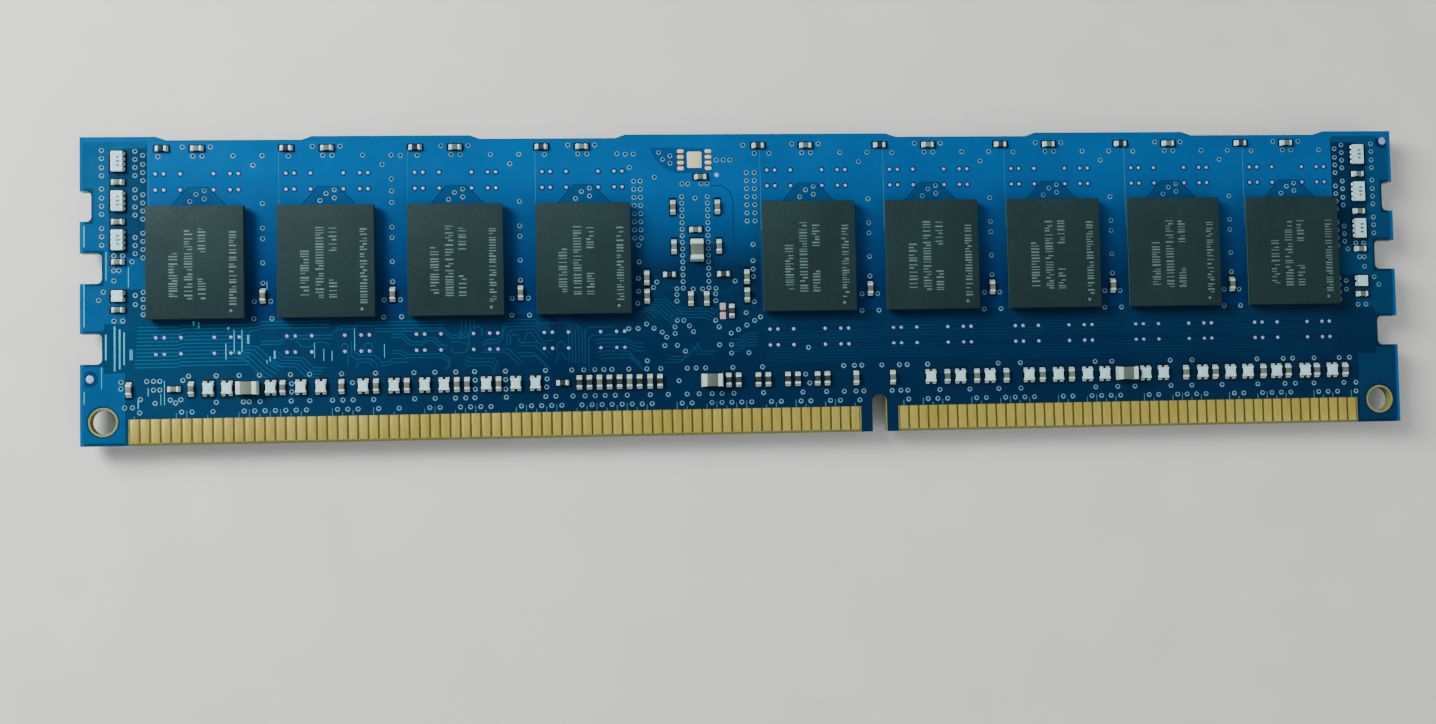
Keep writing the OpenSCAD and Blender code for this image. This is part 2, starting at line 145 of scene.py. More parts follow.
class Shapes:
    """Closed shapes gathered into one mesh."""

    def __init__(self):
        self.points = []
        self.faces = []

    def stack(self, rings):
        """Joins rings of equal length, from the bottom up, and closes both ends."""
        base, count = len(self.points), len(rings[0])
        for ring in rings:
            self.points.extend(ring)
        for level in range(len(rings) - 1):
            a = base + level * count
            for k in range(count):
                n = (k + 1) % count
                self.faces.append((a + k, a + n, a + count + n, a + count + k))
        top = base + (len(rings) - 1) * count
        self.faces.append(tuple(base + k for k in reversed(range(count))))
        self.faces.append(tuple(top + k for k in range(count)))

    def block(self, low, high, edge=0.03, corner=0.05, steps=2):
        """A block whose upright corners and upper edges are rounded."""
        rings = [ring_rect(low, high, corner, low[2], 0, steps)]
        for angle in (0, 45, 90):
            a = math.radians(angle)
            rings.append(ring_rect(low, high, corner, high[2] - edge * (1 - math.sin(a)),
                                   edge * (1 - math.cos(a)), steps))
        self.stack(rings)

    def dome(self, x, y, radius, z0, z1, count=14):
        rise = z1 - z0
        profile = ((1.0, z0), (0.93, z0 + rise * 0.45), (0.6, z1 - rise * 0.1), (0.2, z1))
        self.stack([ring_circle(x, y, radius * share, z, count) for share, z in profile])

    def barrel(self, x, y, radius, z0, z1, count=12):
        mid = (z0 + z1) / 2
        profile = ((0.72, z0), (0.94, (z0 + mid) / 2), (1.0, mid), (0.94, (z1 + mid) / 2), (0.72, z1))
        self.stack([ring_circle(x, y, radius * share, z, count) for share, z in profile])

    def turned(self, x, y, profile, count, shift=(0.0, 0.0), shifted=0):
        """A closed profile of (radius, height) turned about a point. shift moves its first few corners."""
        base, size = len(self.points), len(profile)
        for k in range(count):
            a = 2 * math.pi * k / count
            for j, (r, z) in enumerate(profile):
                dx, dy = shift if j < shifted else (0.0, 0.0)
                self.points.append((x + dx + r * math.cos(a), y + dy + r * math.sin(a), z))
        for k in range(count):
            a, b = base + k * size, base + (k + 1) % count * size
            for j in range(size):
                n = (j + 1) % size
                self.faces.append((a + j, a + n, b + n, b + j))

    def annulus(self, x, y, inner, outer, z0, z1, count=16, bevel=0.25):
        """A flat ring with sloped shoulders."""
        slope = (outer - inner) * bevel
        self.turned(x, y, ((inner, z0), (inner + slope, z1), (outer - slope, z1), (outer, z0)), count)

    def via(self, x, y, outer, z0, z1, count=14):
        """A ring of mask over a via's copper, whose dimple lies a little off its centre."""
        shoulder = z0 + (z1 - z0) * 0.5
        profile = ((0.11, z0), (0.15, z1), (outer - 0.04, z1), (outer, shoulder), (outer, z0))
        self.turned(x, y, profile, count, VIA_DIMPLE_SHIFT, 2)

    def ribbon(self, path, width, z0, z1):
        """A track with sloped sides that follows a line of points."""
        base, half = len(self.points), width / 2
        top = max(half - (z1 - z0), half * 0.5)
        for i, (x, y) in enumerate(path):
            before = Vector(path[i]) - Vector(path[i - 1]) if i else Vector(path[1]) - Vector(path[0])
            after = Vector(path[i + 1]) - Vector(path[i]) if i + 1 < len(path) else before
            along = (before.normalized() + after.normalized()).normalized()
            side = Vector((-along.y, along.x)) / max(along.dot(before.normalized()), 0.5)
            for reach, z in ((half, z0), (top, z1), (-top, z1), (-half, z0)):
                self.points.append((x + side.x * reach, y + side.y * reach, z))
        for i in range(len(path) - 1):
            a = base + 4 * i
            for j in range(4):
                n = (j + 1) % 4
                self.faces.append((a + j, a + n, a + 4 + n, a + 4 + j))
        self.faces.append((base + 3, base + 2, base + 1, base))
        end = base + 4 * (len(path) - 1)
        self.faces.append((end, end + 1, end + 2, end + 3))

    def plate(self, outline, z0, z1):
        """A flat plate with a counter-clockwise outline."""
        self.stack([[(x, y, z0) for x, y in outline], [(x, y, z1) for x, y in outline]])

    def fillet(self, foot, out, width, height, reach):
        """Solder that curves from a metal end down to its pad. foot is the middle of the end's lower edge."""
        profile = [(0, height)]
        for share in (0.12, 0.3, 0.55, 0.8):
            profile.append((reach * share, height * (1 - share) ** 2.4))
        profile += [(reach, 0.012), (reach, 0), (0, 0)]
        side = Vector((-out.y, out.x))
        base, size = len(self.points), len(profile)
        for across, share in ((-1, 1), (1, 1)):
            for along, z in profile:
                narrow = 1 - 0.12 * along / reach
                p = Vector((foot[0], foot[1])) + out * along + side * (across * width / 2 * narrow)
                self.points.append((p.x, p.y, z))
        self.faces.append(tuple(base + j for j in range(size)))
        self.faces.append(tuple(base + size + j for j in reversed(range(size))))
        for j in range(size):
            n = (j + 1) % size
            self.faces.append((base + n, base + j, base + size + j, base + size + n))

    def make(self, name, face, surface, slot, replaces=(), smooth=35):
        """Makes one piece, rides it on the board and hides the CAD parts that it replaces."""
        mesh = bpy.data.meshes.new(name)
        faces = self.faces if face.sign > 0 else [tuple(reversed(f)) for f in self.faces]
        mesh.from_pydata([face.place(p) for p in self.points], [], faces)
        mesh.validate()
        mesh.shade_smooth()
        mesh.set_sharp_from_angle(angle=math.radians(smooth))
        mesh.materials.append(surface)
        piece = bpy.data.objects.new(name, mesh)
        bpy.context.scene.collection.objects.link(piece)
        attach(piece, "root")
        if replaces:
            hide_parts(*replaces)
        return piece


# ---- materials ----

class Surface:
    """A Principled material whose patterns are measured in millimetres on the object."""

    def __init__(self, name, roughness=0.5, metallic=0.0, specular=0.5, coat=0.0, coat_roughness=0.1):
        self.material = bpy.data.materials.new(name)
        self.material.use_nodes = True
        self.tree = self.material.node_tree
        self.shader = self.tree.nodes["Principled BSDF"]
        self.shader.inputs["Roughness"].default_value = roughness
        self.shader.inputs["Metallic"].default_value = metallic
        self.shader.inputs["Specular IOR Level"].default_value = specular
        self.shader.inputs["Coat Weight"].default_value = coat
        self.shader.inputs["Coat Roughness"].default_value = coat_roughness
        self.place = self.tree.nodes.new("ShaderNodeTexCoord")

    def link(self, output, socket):
        self.tree.links.new(output, socket)

    def scaled(self, scale):
        """Object coordinates times scale, so that a pattern of size 1 is 1/scale metres."""
        mapping = self.tree.nodes.new("ShaderNodeMapping")
        mapping.inputs["Scale"].default_value = scale
        self.link(self.place.outputs["Object"], mapping.inputs["Vector"])
        return mapping.outputs["Vector"]

    def noise(self, size_mm, detail=3.0, stretch=(1, 1, 1)):
        """Noise whose features are about size_mm across, drawn out along an axis by stretch."""
        node = self.tree.nodes.new("ShaderNodeTexNoise")
        node.inputs["Scale"].default_value = 1.0
        node.inputs["Detail"].default_value = detail
        self.link(self.scaled(tuple(1 / (size_mm * MM * s) for s in stretch)), node.inputs["Vector"])
        return node.outputs["Fac"]

    def wave(self, pitch_mm, axis, distortion=0.0):
        node = self.tree.nodes.new("ShaderNodeTexWave")
        node.bands_direction = axis
        node.inputs["Scale"].default_value = math.pi / 10
        node.inputs["Distortion"].default_value = distortion
        self.link(self.scaled((2 / (pitch_mm * MM),) * 3), node.inputs["Vector"])
        return node.outputs["Fac"]

    def cells(self, size_mm):
        node = self.tree.nodes.new("ShaderNodeTexVoronoi")
        node.inputs["Scale"].default_value = 1.0
        self.link(self.scaled((1 / (size_mm * MM),) * 3), node.inputs["Vector"])
        return node.outputs["Distance"]

    def between(self, value, low, high):
        """0 at low and 1 at high."""
        node = self.tree.nodes.new("ShaderNodeMapRange")
        node.inputs["From Min"].default_value = low
        node.inputs["From Max"].default_value = high
        self.link(value, node.inputs["Value"])
        return node.outputs["Result"]

    def ramp(self, value, *stops):
        """Colours along a value; each stop is (position, (r, g, b))."""
        node = self.tree.nodes.new("ShaderNodeValToRGB")
        elements = node.color_ramp.elements
        while len(elements) < len(stops):
            elements.new(0.5)
        for element, (position, colour) in zip(elements, stops):
            element.position = position
            element.color = (*colour, 1)
        self.link(value, node.inputs["Fac"])
        return node.outputs["Color"]

    def mixed(self, first, second, factor, blend="MIX"):
        node = self.tree.nodes.new("ShaderNodeMix")
        node.data_type = "RGBA"
        node.blend_type = blend
        for socket, value in ((node.inputs[0], factor), (node.inputs[6], first), (node.inputs[7], second)):
            if hasattr(value, "links"):
                self.link(value, socket)
            else:
                socket.default_value = value if isinstance(value, float) else (*value, 1)
        return node.outputs[2]

    def times(self, colour, value, *stops):
        """A colour multiplied by a ramp's colours along a value."""
        return self.mixed(colour, self.ramp(value, *stops), 1.0, "MULTIPLY")

    def span(self, value, low, high):
        """Spreads a value from 0-1 to low-high."""
        node = self.tree.nodes.new("ShaderNodeMapRange")
        node.inputs["From Min"].default_value = 0.3
        node.inputs["From Max"].default_value = 0.7
        node.inputs["To Min"].default_value = low
        node.inputs["To Max"].default_value = high
        self.link(value, node.inputs["Value"])
        return node.outputs["Result"]

    def colour(self, output):
        self.link(output, self.shader.inputs["Base Color"])
        return self

    def rough(self, output):
        self.link(output, self.shader.inputs["Roughness"])
        return self

    def bump(self, height, strength, depth_mm):
        node = self.tree.nodes.new("ShaderNodeBump")
        node.inputs["Strength"].default_value = strength
        node.inputs["Distance"].default_value = depth_mm * MM
        self.link(height, node.inputs["Height"])
        self.link(node.outputs["Normal"], self.shader.inputs["Normal"])
        return self


def mask_finish(s, smoothest, roughest):
    """What all solder mask shares: uneven gloss, orange-peel ripple and a trace of the glass weave."""
    s.rough(s.span(s.noise(1.6, 3), smoothest, roughest))
    return s.bump(s.mixed(s.noise(0.5, 2), s.wave(0.45, "X", 1.0), 0.25), 0.25, 0.01).material


def mask_surface(name, low, high, roughness=0.42):
    """Solder mask in two close blues with a fine grain."""
    s = Surface(name, roughness, specular=0.1)
    cloudy = s.ramp(s.noise(6.0, 4), (0.3, low), (0.7, high))
    s.colour(s.times(cloudy, s.noise(0.12, 2), (0.3, (0.86, 0.86, 0.86)), (0.7, (1.0, 1.0, 1.0))))
    return mask_finish(s, roughness - 0.08, roughness + 0.1)


def laminate_surface(name, low, high):
    """Glass-epoxy: an olive resin with the glass plies showing as fine lines in the cut edge."""
    s = Surface(name, 0.55, specular=0.3)
    plies = s.ramp(s.wave(0.16, "Z", 0.6), (0.25, low), (0.75, high))
    s.colour(s.times(plies, s.noise(0.25, 3, (1, 4, 1)), (0.35, (0.75, 0.78, 0.7)), (0.65, (1.0, 1.0, 1.0))))
    s.rough(s.span(s.noise(0.5), 0.45, 0.65))
    return s.bump(s.noise(0.08, 2, (1, 1, 3)), 0.35, 0.01).material


def gold_surface():
    """Gold plate with insertion scratches along the contacts and a little dulling."""
    s = Surface("contact_gold", 0.36, metallic=0.5, specular=0.4)
    tone = s.ramp(s.noise(3.0, 3, (1, 2.5, 1)), (0.3, (0.44, 0.355, 0.06)), (0.7, (0.54, 0.445, 0.09)))
    s.colour(s.times(tone, s.noise(0.05, 2, (1, 30, 1)), (0.35, (0.78, 0.78, 0.74)), (0.6, (1.0, 1.0, 1.0))))
    s.rough(s.span(s.noise(0.07, 2, (1, 20, 1)), 0.3, 0.48))
    return s.bump(s.noise(0.05, 2, (1, 25, 1)), 0.2, 0.004).material


def package_surface():
    """Moulding compound: dark slate with a fine silica grain."""
    s = Surface("package_compound", 0.7, specular=0.12)
    tone = s.ramp(s.noise(5.0, 3), (0.3, (0.009, 0.024, 0.026)), (0.7, (0.012, 0.030, 0.032)))
    s.colour(s.times(tone, s.noise(0.07, 3), (0.32, (0.72, 0.74, 0.74)), (0.7, (1.25, 1.25, 1.25))))
    s.rough(s.span(s.noise(0.3), 0.5, 0.68))
    return s.bump(s.noise(0.06, 2), 0.35, 0.006).material


def marks_surface():
    """Laser marks: lighter, rougher compound."""
    s = Surface("laser_mark", 0.75, specular=0.3)
    s.colour(s.ramp(s.noise(0.06, 2), (0.3, (0.05, 0.10, 0.095)), (0.7, (0.11, 0.18, 0.17))))
    return s.bump(s.noise(0.04, 2), 0.4, 0.004).material


def substrate_surface():
    s = Surface("package_substrate_edge", 0.5)
    plies = s.ramp(s.wave(0.07, "Z", 0.3), (0.3, (0.02, 0.05, 0.022)), (0.7, (0.06, 0.11, 0.05)))
    s.colour(s.times(plies, s.noise(0.1, 2), (0.3, (0.8, 0.8, 0.8)), (0.7, (1.0, 1.0, 1.0))))
    return s.bump(s.noise(0.05, 2), 0.3, 0.005).material


def metal_surface(name, low, high, roughness, grain_mm, metallic=0.8):
    """Plated or reflowed metal with a fine crystalline grain."""
    s = Surface(name, roughness, metallic=metallic, specular=0.6)
    s.colour(s.ramp(s.noise(grain_mm * 4, 3), (0.3, low), (0.7, high)))
    s.rough(s.span(s.noise(grain_mm * 2, 2), roughness - 0.1, roughness + 0.12))
    return s.bump(s.cells(grain_mm), 0.2, 0.004).material


def ceramic_surface(name, low, high, roughness, spread_mm=2.0):
    """Sintered ceramic with a slight change of tone from part to part and a fine pitted skin."""
    s = Surface(name, roughness, specular=0.55, coat=0.2, coat_roughness=0.2)
    tone = s.ramp(s.noise(spread_mm, 2), (0.35, low), (0.65, high))
    s.colour(s.times(tone, s.noise(0.04, 2), (0.3, (0.84, 0.84, 0.84)), (0.55, (1.0, 1.0, 1.0))))
    s.rough(s.span(s.noise(0.2), roughness - 0.08, roughness + 0.1))
    return s.bump(s.noise(0.05, 2), 0.25, 0.004).material


def silicon_surface():
    s = Surface("ground_silicon", 0.3, metallic=0.3)
    s.colour(s.ramp(s.noise(0.3, 3, (1, 8, 1)), (0.3, (0.05, 0.055, 0.065)), (0.7, (0.10, 0.105, 0.12))))
    return s.bump(s.noise(0.03, 2, (1, 12, 1)), 0.2, 0.002).material


# Millimetres over which the mask's painted light changes: the painted light at the left end fades out between
# these distances from it, and the painted highlight bands lie in from the top and the side edges
LEFT_LIGHT_FADE = (42, 4)
TOP_HIGHLIGHT_BAND = (0.85, 0.65)
SIDE_HIGHLIGHT_BAND = (0.5, 0.3)


def mask_with_painted_light(name, low_at, high_at, low, high, painted_edge_highlight=None, painted_left_light=None):
    """Mask whose blue changes along Y between two heights on the board, brightening towards the top as
    painted reflection. It is lighter at the board's left end with painted light, and a painted edge highlight
    colour follows its outline."""
    s = Surface(name, 0.36, specular=0.08)
    split = s.tree.nodes.new("ShaderNodeSeparateXYZ")
    s.link(s.place.outputs["Object"], split.inputs["Vector"])
    shade = s.ramp(s.between(split.outputs["Y"], BOARD_LOW.y + low_at * MM, BOARD_LOW.y + high_at * MM),
                   (0.0, low), (1.0, high))
    if painted_left_light:
        fade = s.between(split.outputs["X"], *(BOARD_LOW.x + d * MM for d in LEFT_LIGHT_FADE))
        shade = s.mixed(shade, painted_left_light, fade)
    if painted_edge_highlight:
        top = s.between(split.outputs["Y"], *(BOARD_HIGH.y - d * MM for d in TOP_HIGHLIGHT_BAND))
        left = s.between(split.outputs["X"], *(BOARD_LOW.x + d * MM for d in SIDE_HIGHLIGHT_BAND))
        right = s.between(split.outputs["X"], *(BOARD_HIGH.x - d * MM for d in SIDE_HIGHLIGHT_BAND))
        for share in (top, left, right):
            shade = s.mixed(shade, painted_edge_highlight, share)
    s.colour(s.times(shade, s.noise(6.0, 4), (0.3, (0.82, 0.84, 0.86)), (0.7, (1.0, 1.0, 1.0))))
    return mask_finish(s, 0.28, 0.44)


# Each of the next seven masks brightens towards the top with painted reflection. The left ends of MASK_DARK,
# MASK_END, MASK_TRACK and MASK_FAINT are lighter with painted light, and MASK_DARK's outline carries a
# painted edge highlight.
MASK_DARK = mask_with_painted_light("mask_over_laminate", 7, 12, (0.0, 0.016, 0.053), (0.0, 0.020, 0.062),
                        (0.0, 0.088, 0.25), (0.0, 0.034, 0.090))
MASK_POUR = mask_with_painted_light("mask_over_copper", 15, 27, (0.0, 0.024, 0.098), (0.0, 0.088, 0.27))
MASK_MIDDLE = mask_with_painted_light("mask_over_middle_copper", 16.6, 25, (0.0, 0.020, 0.064), (0.0, 0.088, 0.27))
MASK_END = mask_with_painted_light("mask_over_end_copper", 2, 27, (0.0, 0.026, 0.075), (0.0, 0.052, 0.140),
                       painted_left_light=(0.0, 0.066, 0.185))
MASK_STEP = mask_with_painted_light("mask_over_clearance", 15, 27, (0.0, 0.030, 0.105), (0.0, 0.056, 0.18))
MASK_TRACK = mask_with_painted_light("mask_over_track", 7, 14, (0.001, 0.042, 0.102), (0.002, 0.054, 0.125),
                         painted_left_light=(0.004, 0.088, 0.185))
MASK_FAINT = mask_with_painted_light("mask_over_buried_track", 7, 14, (0.0, 0.026, 0.074), (0.0, 0.032, 0.086),
                         painted_left_light=(0.001, 0.056, 0.130))
MASK_STUB = mask_surface("mask_over_contact_track", (0.02, 0.10, 0.19), (0.05, 0.18, 0.29), 0.32)
# Light cyan of the raised track edges near the left end: a painted glint on real ridges.
MASK_GLINT = mask_surface("mask_with_painted_glint", (0.05, 0.30, 0.46), (0.10, 0.42, 0.58), 0.28)
MASK_RING = mask_surface("mask_over_via", (0.07, 0.18, 0.27), (0.15, 0.30, 0.40), 0.3)
# Near-black painted shade: the dark of each via's hole, and the dark ring round each chip part.
DARK_OPENING_SHADE = mask_surface("dark_opening_painted_shade", (0.0, 0.006, 0.016), (0.0, 0.011, 0.028), 0.5)
LAMINATE = laminate_surface("laminate_weave", (0.13, 0.15, 0.03), (0.24, 0.25, 0.07))
LAMINATE_GAP = laminate_surface("laminate_between_contacts", (0.045, 0.034, 0.004), (0.08, 0.062, 0.008))
GOLD = gold_surface()
PACKAGE = package_surface()
MARKS = marks_surface()
SUBSTRATE = substrate_surface()
SOLDER = metal_surface("reflowed_solder", (0.34, 0.46, 0.46), (0.58, 0.72, 0.70), 0.32, 0.05, 0.3)
TIN = metal_surface("tin_plate", (0.42, 0.64, 0.64), (0.62, 0.82, 0.80), 0.34, 0.04, 0.2)
LAND = metal_surface("preserved_copper", (0.24, 0.24, 0.46), (0.40, 0.38, 0.62), 0.4, 0.05, 0.1)
PINK_LAND = metal_surface("bare_copper_pad", (0.42, 0.28, 0.32), (0.52, 0.36, 0.40), 0.5, 0.05, 0.1)
FOOTPRINT = metal_surface("bare_footprint", (0.70, 0.62, 0.33), (0.82, 0.75, 0.44), 0.42, 0.06, 0.25)
ALUMINA = ceramic_surface("white_alumina", (0.37, 0.70, 0.74), (0.46, 0.80, 0.83), 0.4)
PRINT = ceramic_surface("value_print", (0.06, 0.10, 0.11), (0.10, 0.15, 0.16), 0.5)
COAT = ceramic_surface("resistor_glass", (0.012, 0.018, 0.018), (0.03, 0.04, 0.038), 0.22)
TITANATE = ceramic_surface("capacitor_titanate", (0.075, 0.105, 0.078), (0.13, 0.16, 0.118), 0.38, 3.0)
GAP = laminate_surface("laminate_between_pads", (0.10, 0.045, 0.018), (0.18, 0.08, 0.03))
SILICON = silicon_surface()

CAD_SURFACES = {
    "pcb_laminate": LAMINATE,
    "solder_mask_top": MASK_DARK,
    "solder_mask_underside": MASK_DARK,
    "dram_substrates_top": SUBSTRATE,
    "dram_substrates_underside": SUBSTRATE,
    "register_substrate": SUBSTRATE,
    "dram_dies_top": SILICON,
    "dram_dies_underside": SILICON,
    "register_die": SILICON,
    "sensor_leads": TIN,
}


def paint_cad_nodes():
    for node, surface in CAD_SURFACES.items():
        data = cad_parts[node].data
        data.materials.clear()
        data.materials.append(surface)


# ---- packages ----

PACKAGE_DROP = 0.006
MARK_H = 0.004
# Marking columns on a package: X from its centre, first and last Y from its centre, width
MARK_COLUMNS = (
    (-2.05, -3.4, 1.1, 0.85), (-0.6, -3.65, 3.3, 0.8), (0.68, -3.65, -1.6, 0.75), (0.68, 0.95, 3.2, 0.75),
    (3.65, -4.25, 3.1, 0.7))
PIN_ONE = (3.45, -4.8, 0.15)


def dram_nodes(face):
    return [f"dram_{face.name}_{i}" for i in range(1, 10)]


def add_mark_column(shapes, x, y0, y1, width, z, rng):
    """A column of plain bars of mixed thickness and length, which stands for a laser-marked line."""
    y = y0
    while y < y1:
        thick = rng.choice((0.09, 0.12, 0.16))
        length = width * rng.choice((1.0, 1.0, 0.62))
        shift = (width - length) / 2 * rng.choice((-1, 1))
        left, right = x - length / 2 + shift, x + length / 2 + shift
        shapes.block((left, y, z), (right, y + thick, z + MARK_H), 0.001, 0.01, 1)
        y += thick + rng.choice((0.12, 0.17, 0.17, 0.3))


def make_packages(face):
    marks = Shapes()
    rng = random.Random(7 if face is TOP else 11)
    for node in dram_nodes(face):
        low, high = face.boxes(node)[0]
        cap = Shapes()
        crown = high.z - PACKAGE_DROP
        cap.block(low, (high.x, high.y, crown), 0.03, 0.06, 3)
        cap.make("cap_" + node, face, PACKAGE, "package_mould", (node,))
        cx, cy = (low.x + high.x) / 2, (low.y + high.y) / 2
        for x, y0, y1, width in MARK_COLUMNS:
            add_mark_column(marks, cx + x, cy + y0, cy + y1, width, crown, rng)
        marks.stack([ring_circle(cx + PIN_ONE[0], cy + PIN_ONE[1], PIN_ONE[2], z)
                     for z in (crown, crown + MARK_H)])
    marks.make("package_marks_" + face.name, face, MARKS, "package_mould")


def make_balls(name, node, face):
    shapes = Shapes()
    for low, high in face.boxes(node):
        shapes.barrel((low.x + high.x) / 2, (low.y + high.y) / 2, (high.x - low.x) / 2, low.z, high.z)
    shapes.make(name, face, SOLDER, "solder", (node,), 60)


REGISTER_MARK_COLUMNS = ((-1.8, -4.4, 3.2, 0.9), (-0.2, -4.4, 1.6, 0.8), (1.4, -4.4, 4.0, 0.8))


def make_register():
    low, high = UNDERSIDE.boxes("register_mould")[0]
    cap, marks = Shapes(), Shapes()
    cap.block(low, high, 0.04, 0.06, 3)
    cap.make("register_cap", UNDERSIDE, PACKAGE, "package_mould", ("register_mould",))
    cx, cy = (low.x + high.x) / 2, (low.y + high.y) / 2
    rng = random.Random(3)
    for x, y0, y1, width in REGISTER_MARK_COLUMNS:
        add_mark_column(marks, cx + x, cy + y0, cy + y1, width, high.z, rng)
    marks.stack([ring_circle(cx + 3.0, cy - 5.6, 0.3, z) for z in (high.z, high.z + MARK_H)])
    marks.make("register_marks", UNDERSIDE, MARKS, "package_mould")
    make_balls("register_solder_balls", "register_balls", UNDERSIDE)


def make_sensor():
    low, high = UNDERSIDE.boxes("sensor_body")[0]
    cap, marks = Shapes(), Shapes()
    cap.block((low.x, low.y, low.z + 0.2), high, 0.04, 0.04, 3)
    cap.make("sensor_cap", UNDERSIDE, PACKAGE, "package_mould", ("sensor_body",))
    rng = random.Random(5)
    for share in (0.3, 0.65):
        x = low.x + (high.x - low.x) * share
        add_mark_column(marks, x, low.y + 0.5, high.y - 0.6, 0.42, high.z, rng)
    marks.make("sensor_marks", UNDERSIDE, MARKS, "package_mould")


# ---- chip parts ----

def lead_axis(low, high):
    """The axis along which a metal end is thin: the way its part's leads point."""
    return 0 if high.x - low.x < high.y - low.y else 1


# Margin of the dark ring round each chip part: its opening in the mask, made near-black with painted shadow
DARK_RING_MARGIN = 0.15


def make_chip_parts(label, face, stem, surface, slot, body_drop=0.02, reach=0.34, flat_reach=0.34,
                    waist=0.0):
    """Rounded bodies, metal ends that wrap over them, and the solder between each end and its pad.
    stem starts the names of their CAD nodes. reach is how far the solder runs out along Y, and flat_reach
    along X. waist narrows the bodies."""
    body_node, end_node = stem + "_bodies", stem + "_terminals"
    bodies, ends, solder, dark_rings = Shapes(), Shapes(), Shapes(), Shapes()
    extents = []
    for low, high in face.boxes(body_node):
        extents.append([(low + high) / 2, Vector(low), Vector(high)])
        bodies.block((low.x + waist, low.y, low.z + 0.03),
                     (high.x - waist, high.y, high.z - body_drop), 0.03, 0.03)
    for low, high in face.boxes(end_node):
        middle = (low + high) / 2
        owner = min(extents, key=lambda e: (e[0].x - middle.x) ** 2 + (e[0].y - middle.y) ** 2)
        axis = lead_axis(low, high)
        out = Vector((0.0, 0.0))
        out[axis] = 1.0 if middle[axis] > owner[0][axis] else -1.0
        ends.block((low.x, low.y, low.z + 0.02), high, 0.04, 0.05)
        width = (high - low)[1 - axis]
        foot = Vector((middle.x, middle.y)) + out * (high - low)[axis] / 2
        run = flat_reach if axis == 0 else reach
        solder.fillet(foot, out, width * 1.12, high.z * 0.72, run)
        for corner in (foot, foot + out * run):
            for a in (0, 1):
                owner[1][a] = min(owner[1][a], corner[a])
                owner[2][a] = max(owner[2][a], corner[a])
        solder.block((low.x - 0.02, low.y - 0.02, 0.0), (high.x + 0.02, high.y + 0.02, 0.03), 0.008, 0.04)
    # The mask opening round each part, darkened with painted shadow
    for _, low, high in extents:
        dark_rings.block((low.x - DARK_RING_MARGIN, low.y - DARK_RING_MARGIN, 0), (high.x + DARK_RING_MARGIN, high.y + DARK_RING_MARGIN, OPENING_H), 0.002, 0.12)
    bodies.make(label + "_bodies_" + face.name, face, surface, slot, (body_node,))
    ends.make(label + "_ends_" + face.name, face, TIN, "tin_terminal", (end_node,))
    solder.make(label + "_solder_" + face.name, face, SOLDER, "solder")
    dark_rings.make(label + "_openings_" + face.name, face, DARK_OPENING_SHADE, "solder_mask")


def make_value_bars():
    """Three plain bars on each eight-lead array, in place of its printed value."""
    shapes = Shapes()
    for low, high in TOP.boxes("end_array_bodies"):
        if high.y - low.y < 1.5:
            continue
        middle = (low + high) / 2
        for k, length in ((-1, 0.3), (0, 0.38), (1, 0.3)):
            x, y = middle.x + 0.08, middle.y + 0.4 * k
            shapes.block((x - length / 2, y - 0.1, high.z - 0.021),
                         (x + length / 2, y + 0.1, high.z - 0.012), 0.003, 0.03, 1)
    shapes.make("array_value_bars", TOP, PRINT, "alumina")


# ---- contacts and lands ----

def make_contacts():
    for node in [f"contacts_{side}_{group}" for side in ("top", "underside") for group in ("long", "short")]:
        face = TOP if "_top_" in node else UNDERSIDE
        shapes = Shapes()
        for low, high in face.boxes(node):
            shapes.block(low, high, 0.012, 0.06)
        shapes.make("gold_" + node, face, GOLD, "gold_contact", (node,))
        first, last = face.boxes(node)[0][0], face.boxes(node)[-1][1]
        floor_z = min(first.z, last.z)
        field = Shapes()
        field.block((first.x - 0.1, first.y, floor_z),
                    (last.x + 0.1, last.y + 0.04, floor_z + FIELD_H), 0.002, 0.05)
        field.make("field_" + node, face, LAMINATE_GAP, "laminate")


def make_lands(face):
    lands, clear = Shapes(), Shapes()
    for low, high in face.boxes("test_lands_" + face.name):
        x, y, radius = (low.x + high.x) / 2, (low.y + high.y) / 2, (high.x - low.x) / 2
        lands.dome(x, y, radius * 0.86, 0, LAND_H)
        clear.annulus(x, y, radius * 0.75, radius + 0.13, 0, CLEARANCE_H)
    if face is TOP:
        marks = Shapes()
        for low, high in face.boxes("fiducials"):
            x, y, radius = (low.x + high.x) / 2, (low.y + high.y) / 2, (high.x - low.x) / 2
            marks.dome(x, y, radius, 0, LAND_H, 24)
            clear.annulus(x, y, radius * 0.95, radius + 0.4, 0, CLEARANCE_H, 28, 0.05)
        marks.dome(MIDDLE_X + 2.25, 26.2, 0.24, 0, LAND_H)
        marks.make("alignment_marks", face, LAND, "bare_land", ("fiducials",))
    lands.make("support_lands_" + face.name, face, LAND, "bare_land", ("test_lands_" + face.name,), 60)
    clear.make("land_clearances_" + face.name, face, MASK_DARK, "solder_mask")


def make_footprints():
    """The two places that were left without their parts: rounded pads, and bare laminate between them."""
    for node, label, surface, corner in (("vacant_sensor_pads", "sensor_footprint", FOOTPRINT, 0.14),
                                         ("vacant_resistor_pads", "resistor_footprint", PINK_LAND, 0.06)):
        pads, gaps = Shapes(), Shapes()
        boxes = TOP.boxes(node)
        columns = {}
        for low, high in boxes:
            small = high.x - low.x < 1.0
            inset = 0.05 if small else 0.0
            pads.block((low.x + inset, low.y, 0), (high.x - inset, high.y, PAD_H), 0.01, corner)
            if small:
                columns.setdefault(round(low.x, 2), []).extend((low, high))
        for corners in columns.values():
            x = (min(c.x for c in corners) + max(c.x for c in corners)) / 2
            gaps.block((x - 0.24, min(c.y for c in corners) + 0.1, 0),
                       (x + 0.24, max(c.y for c in corners) - 0.1, GAP_H), 0.002, 0.05)
        pads.make(label, TOP, surface, "bare_land", (node,))
        gaps.make(label + "_gaps", TOP, GAP, "laminate")


# ---- copper under the mask ----

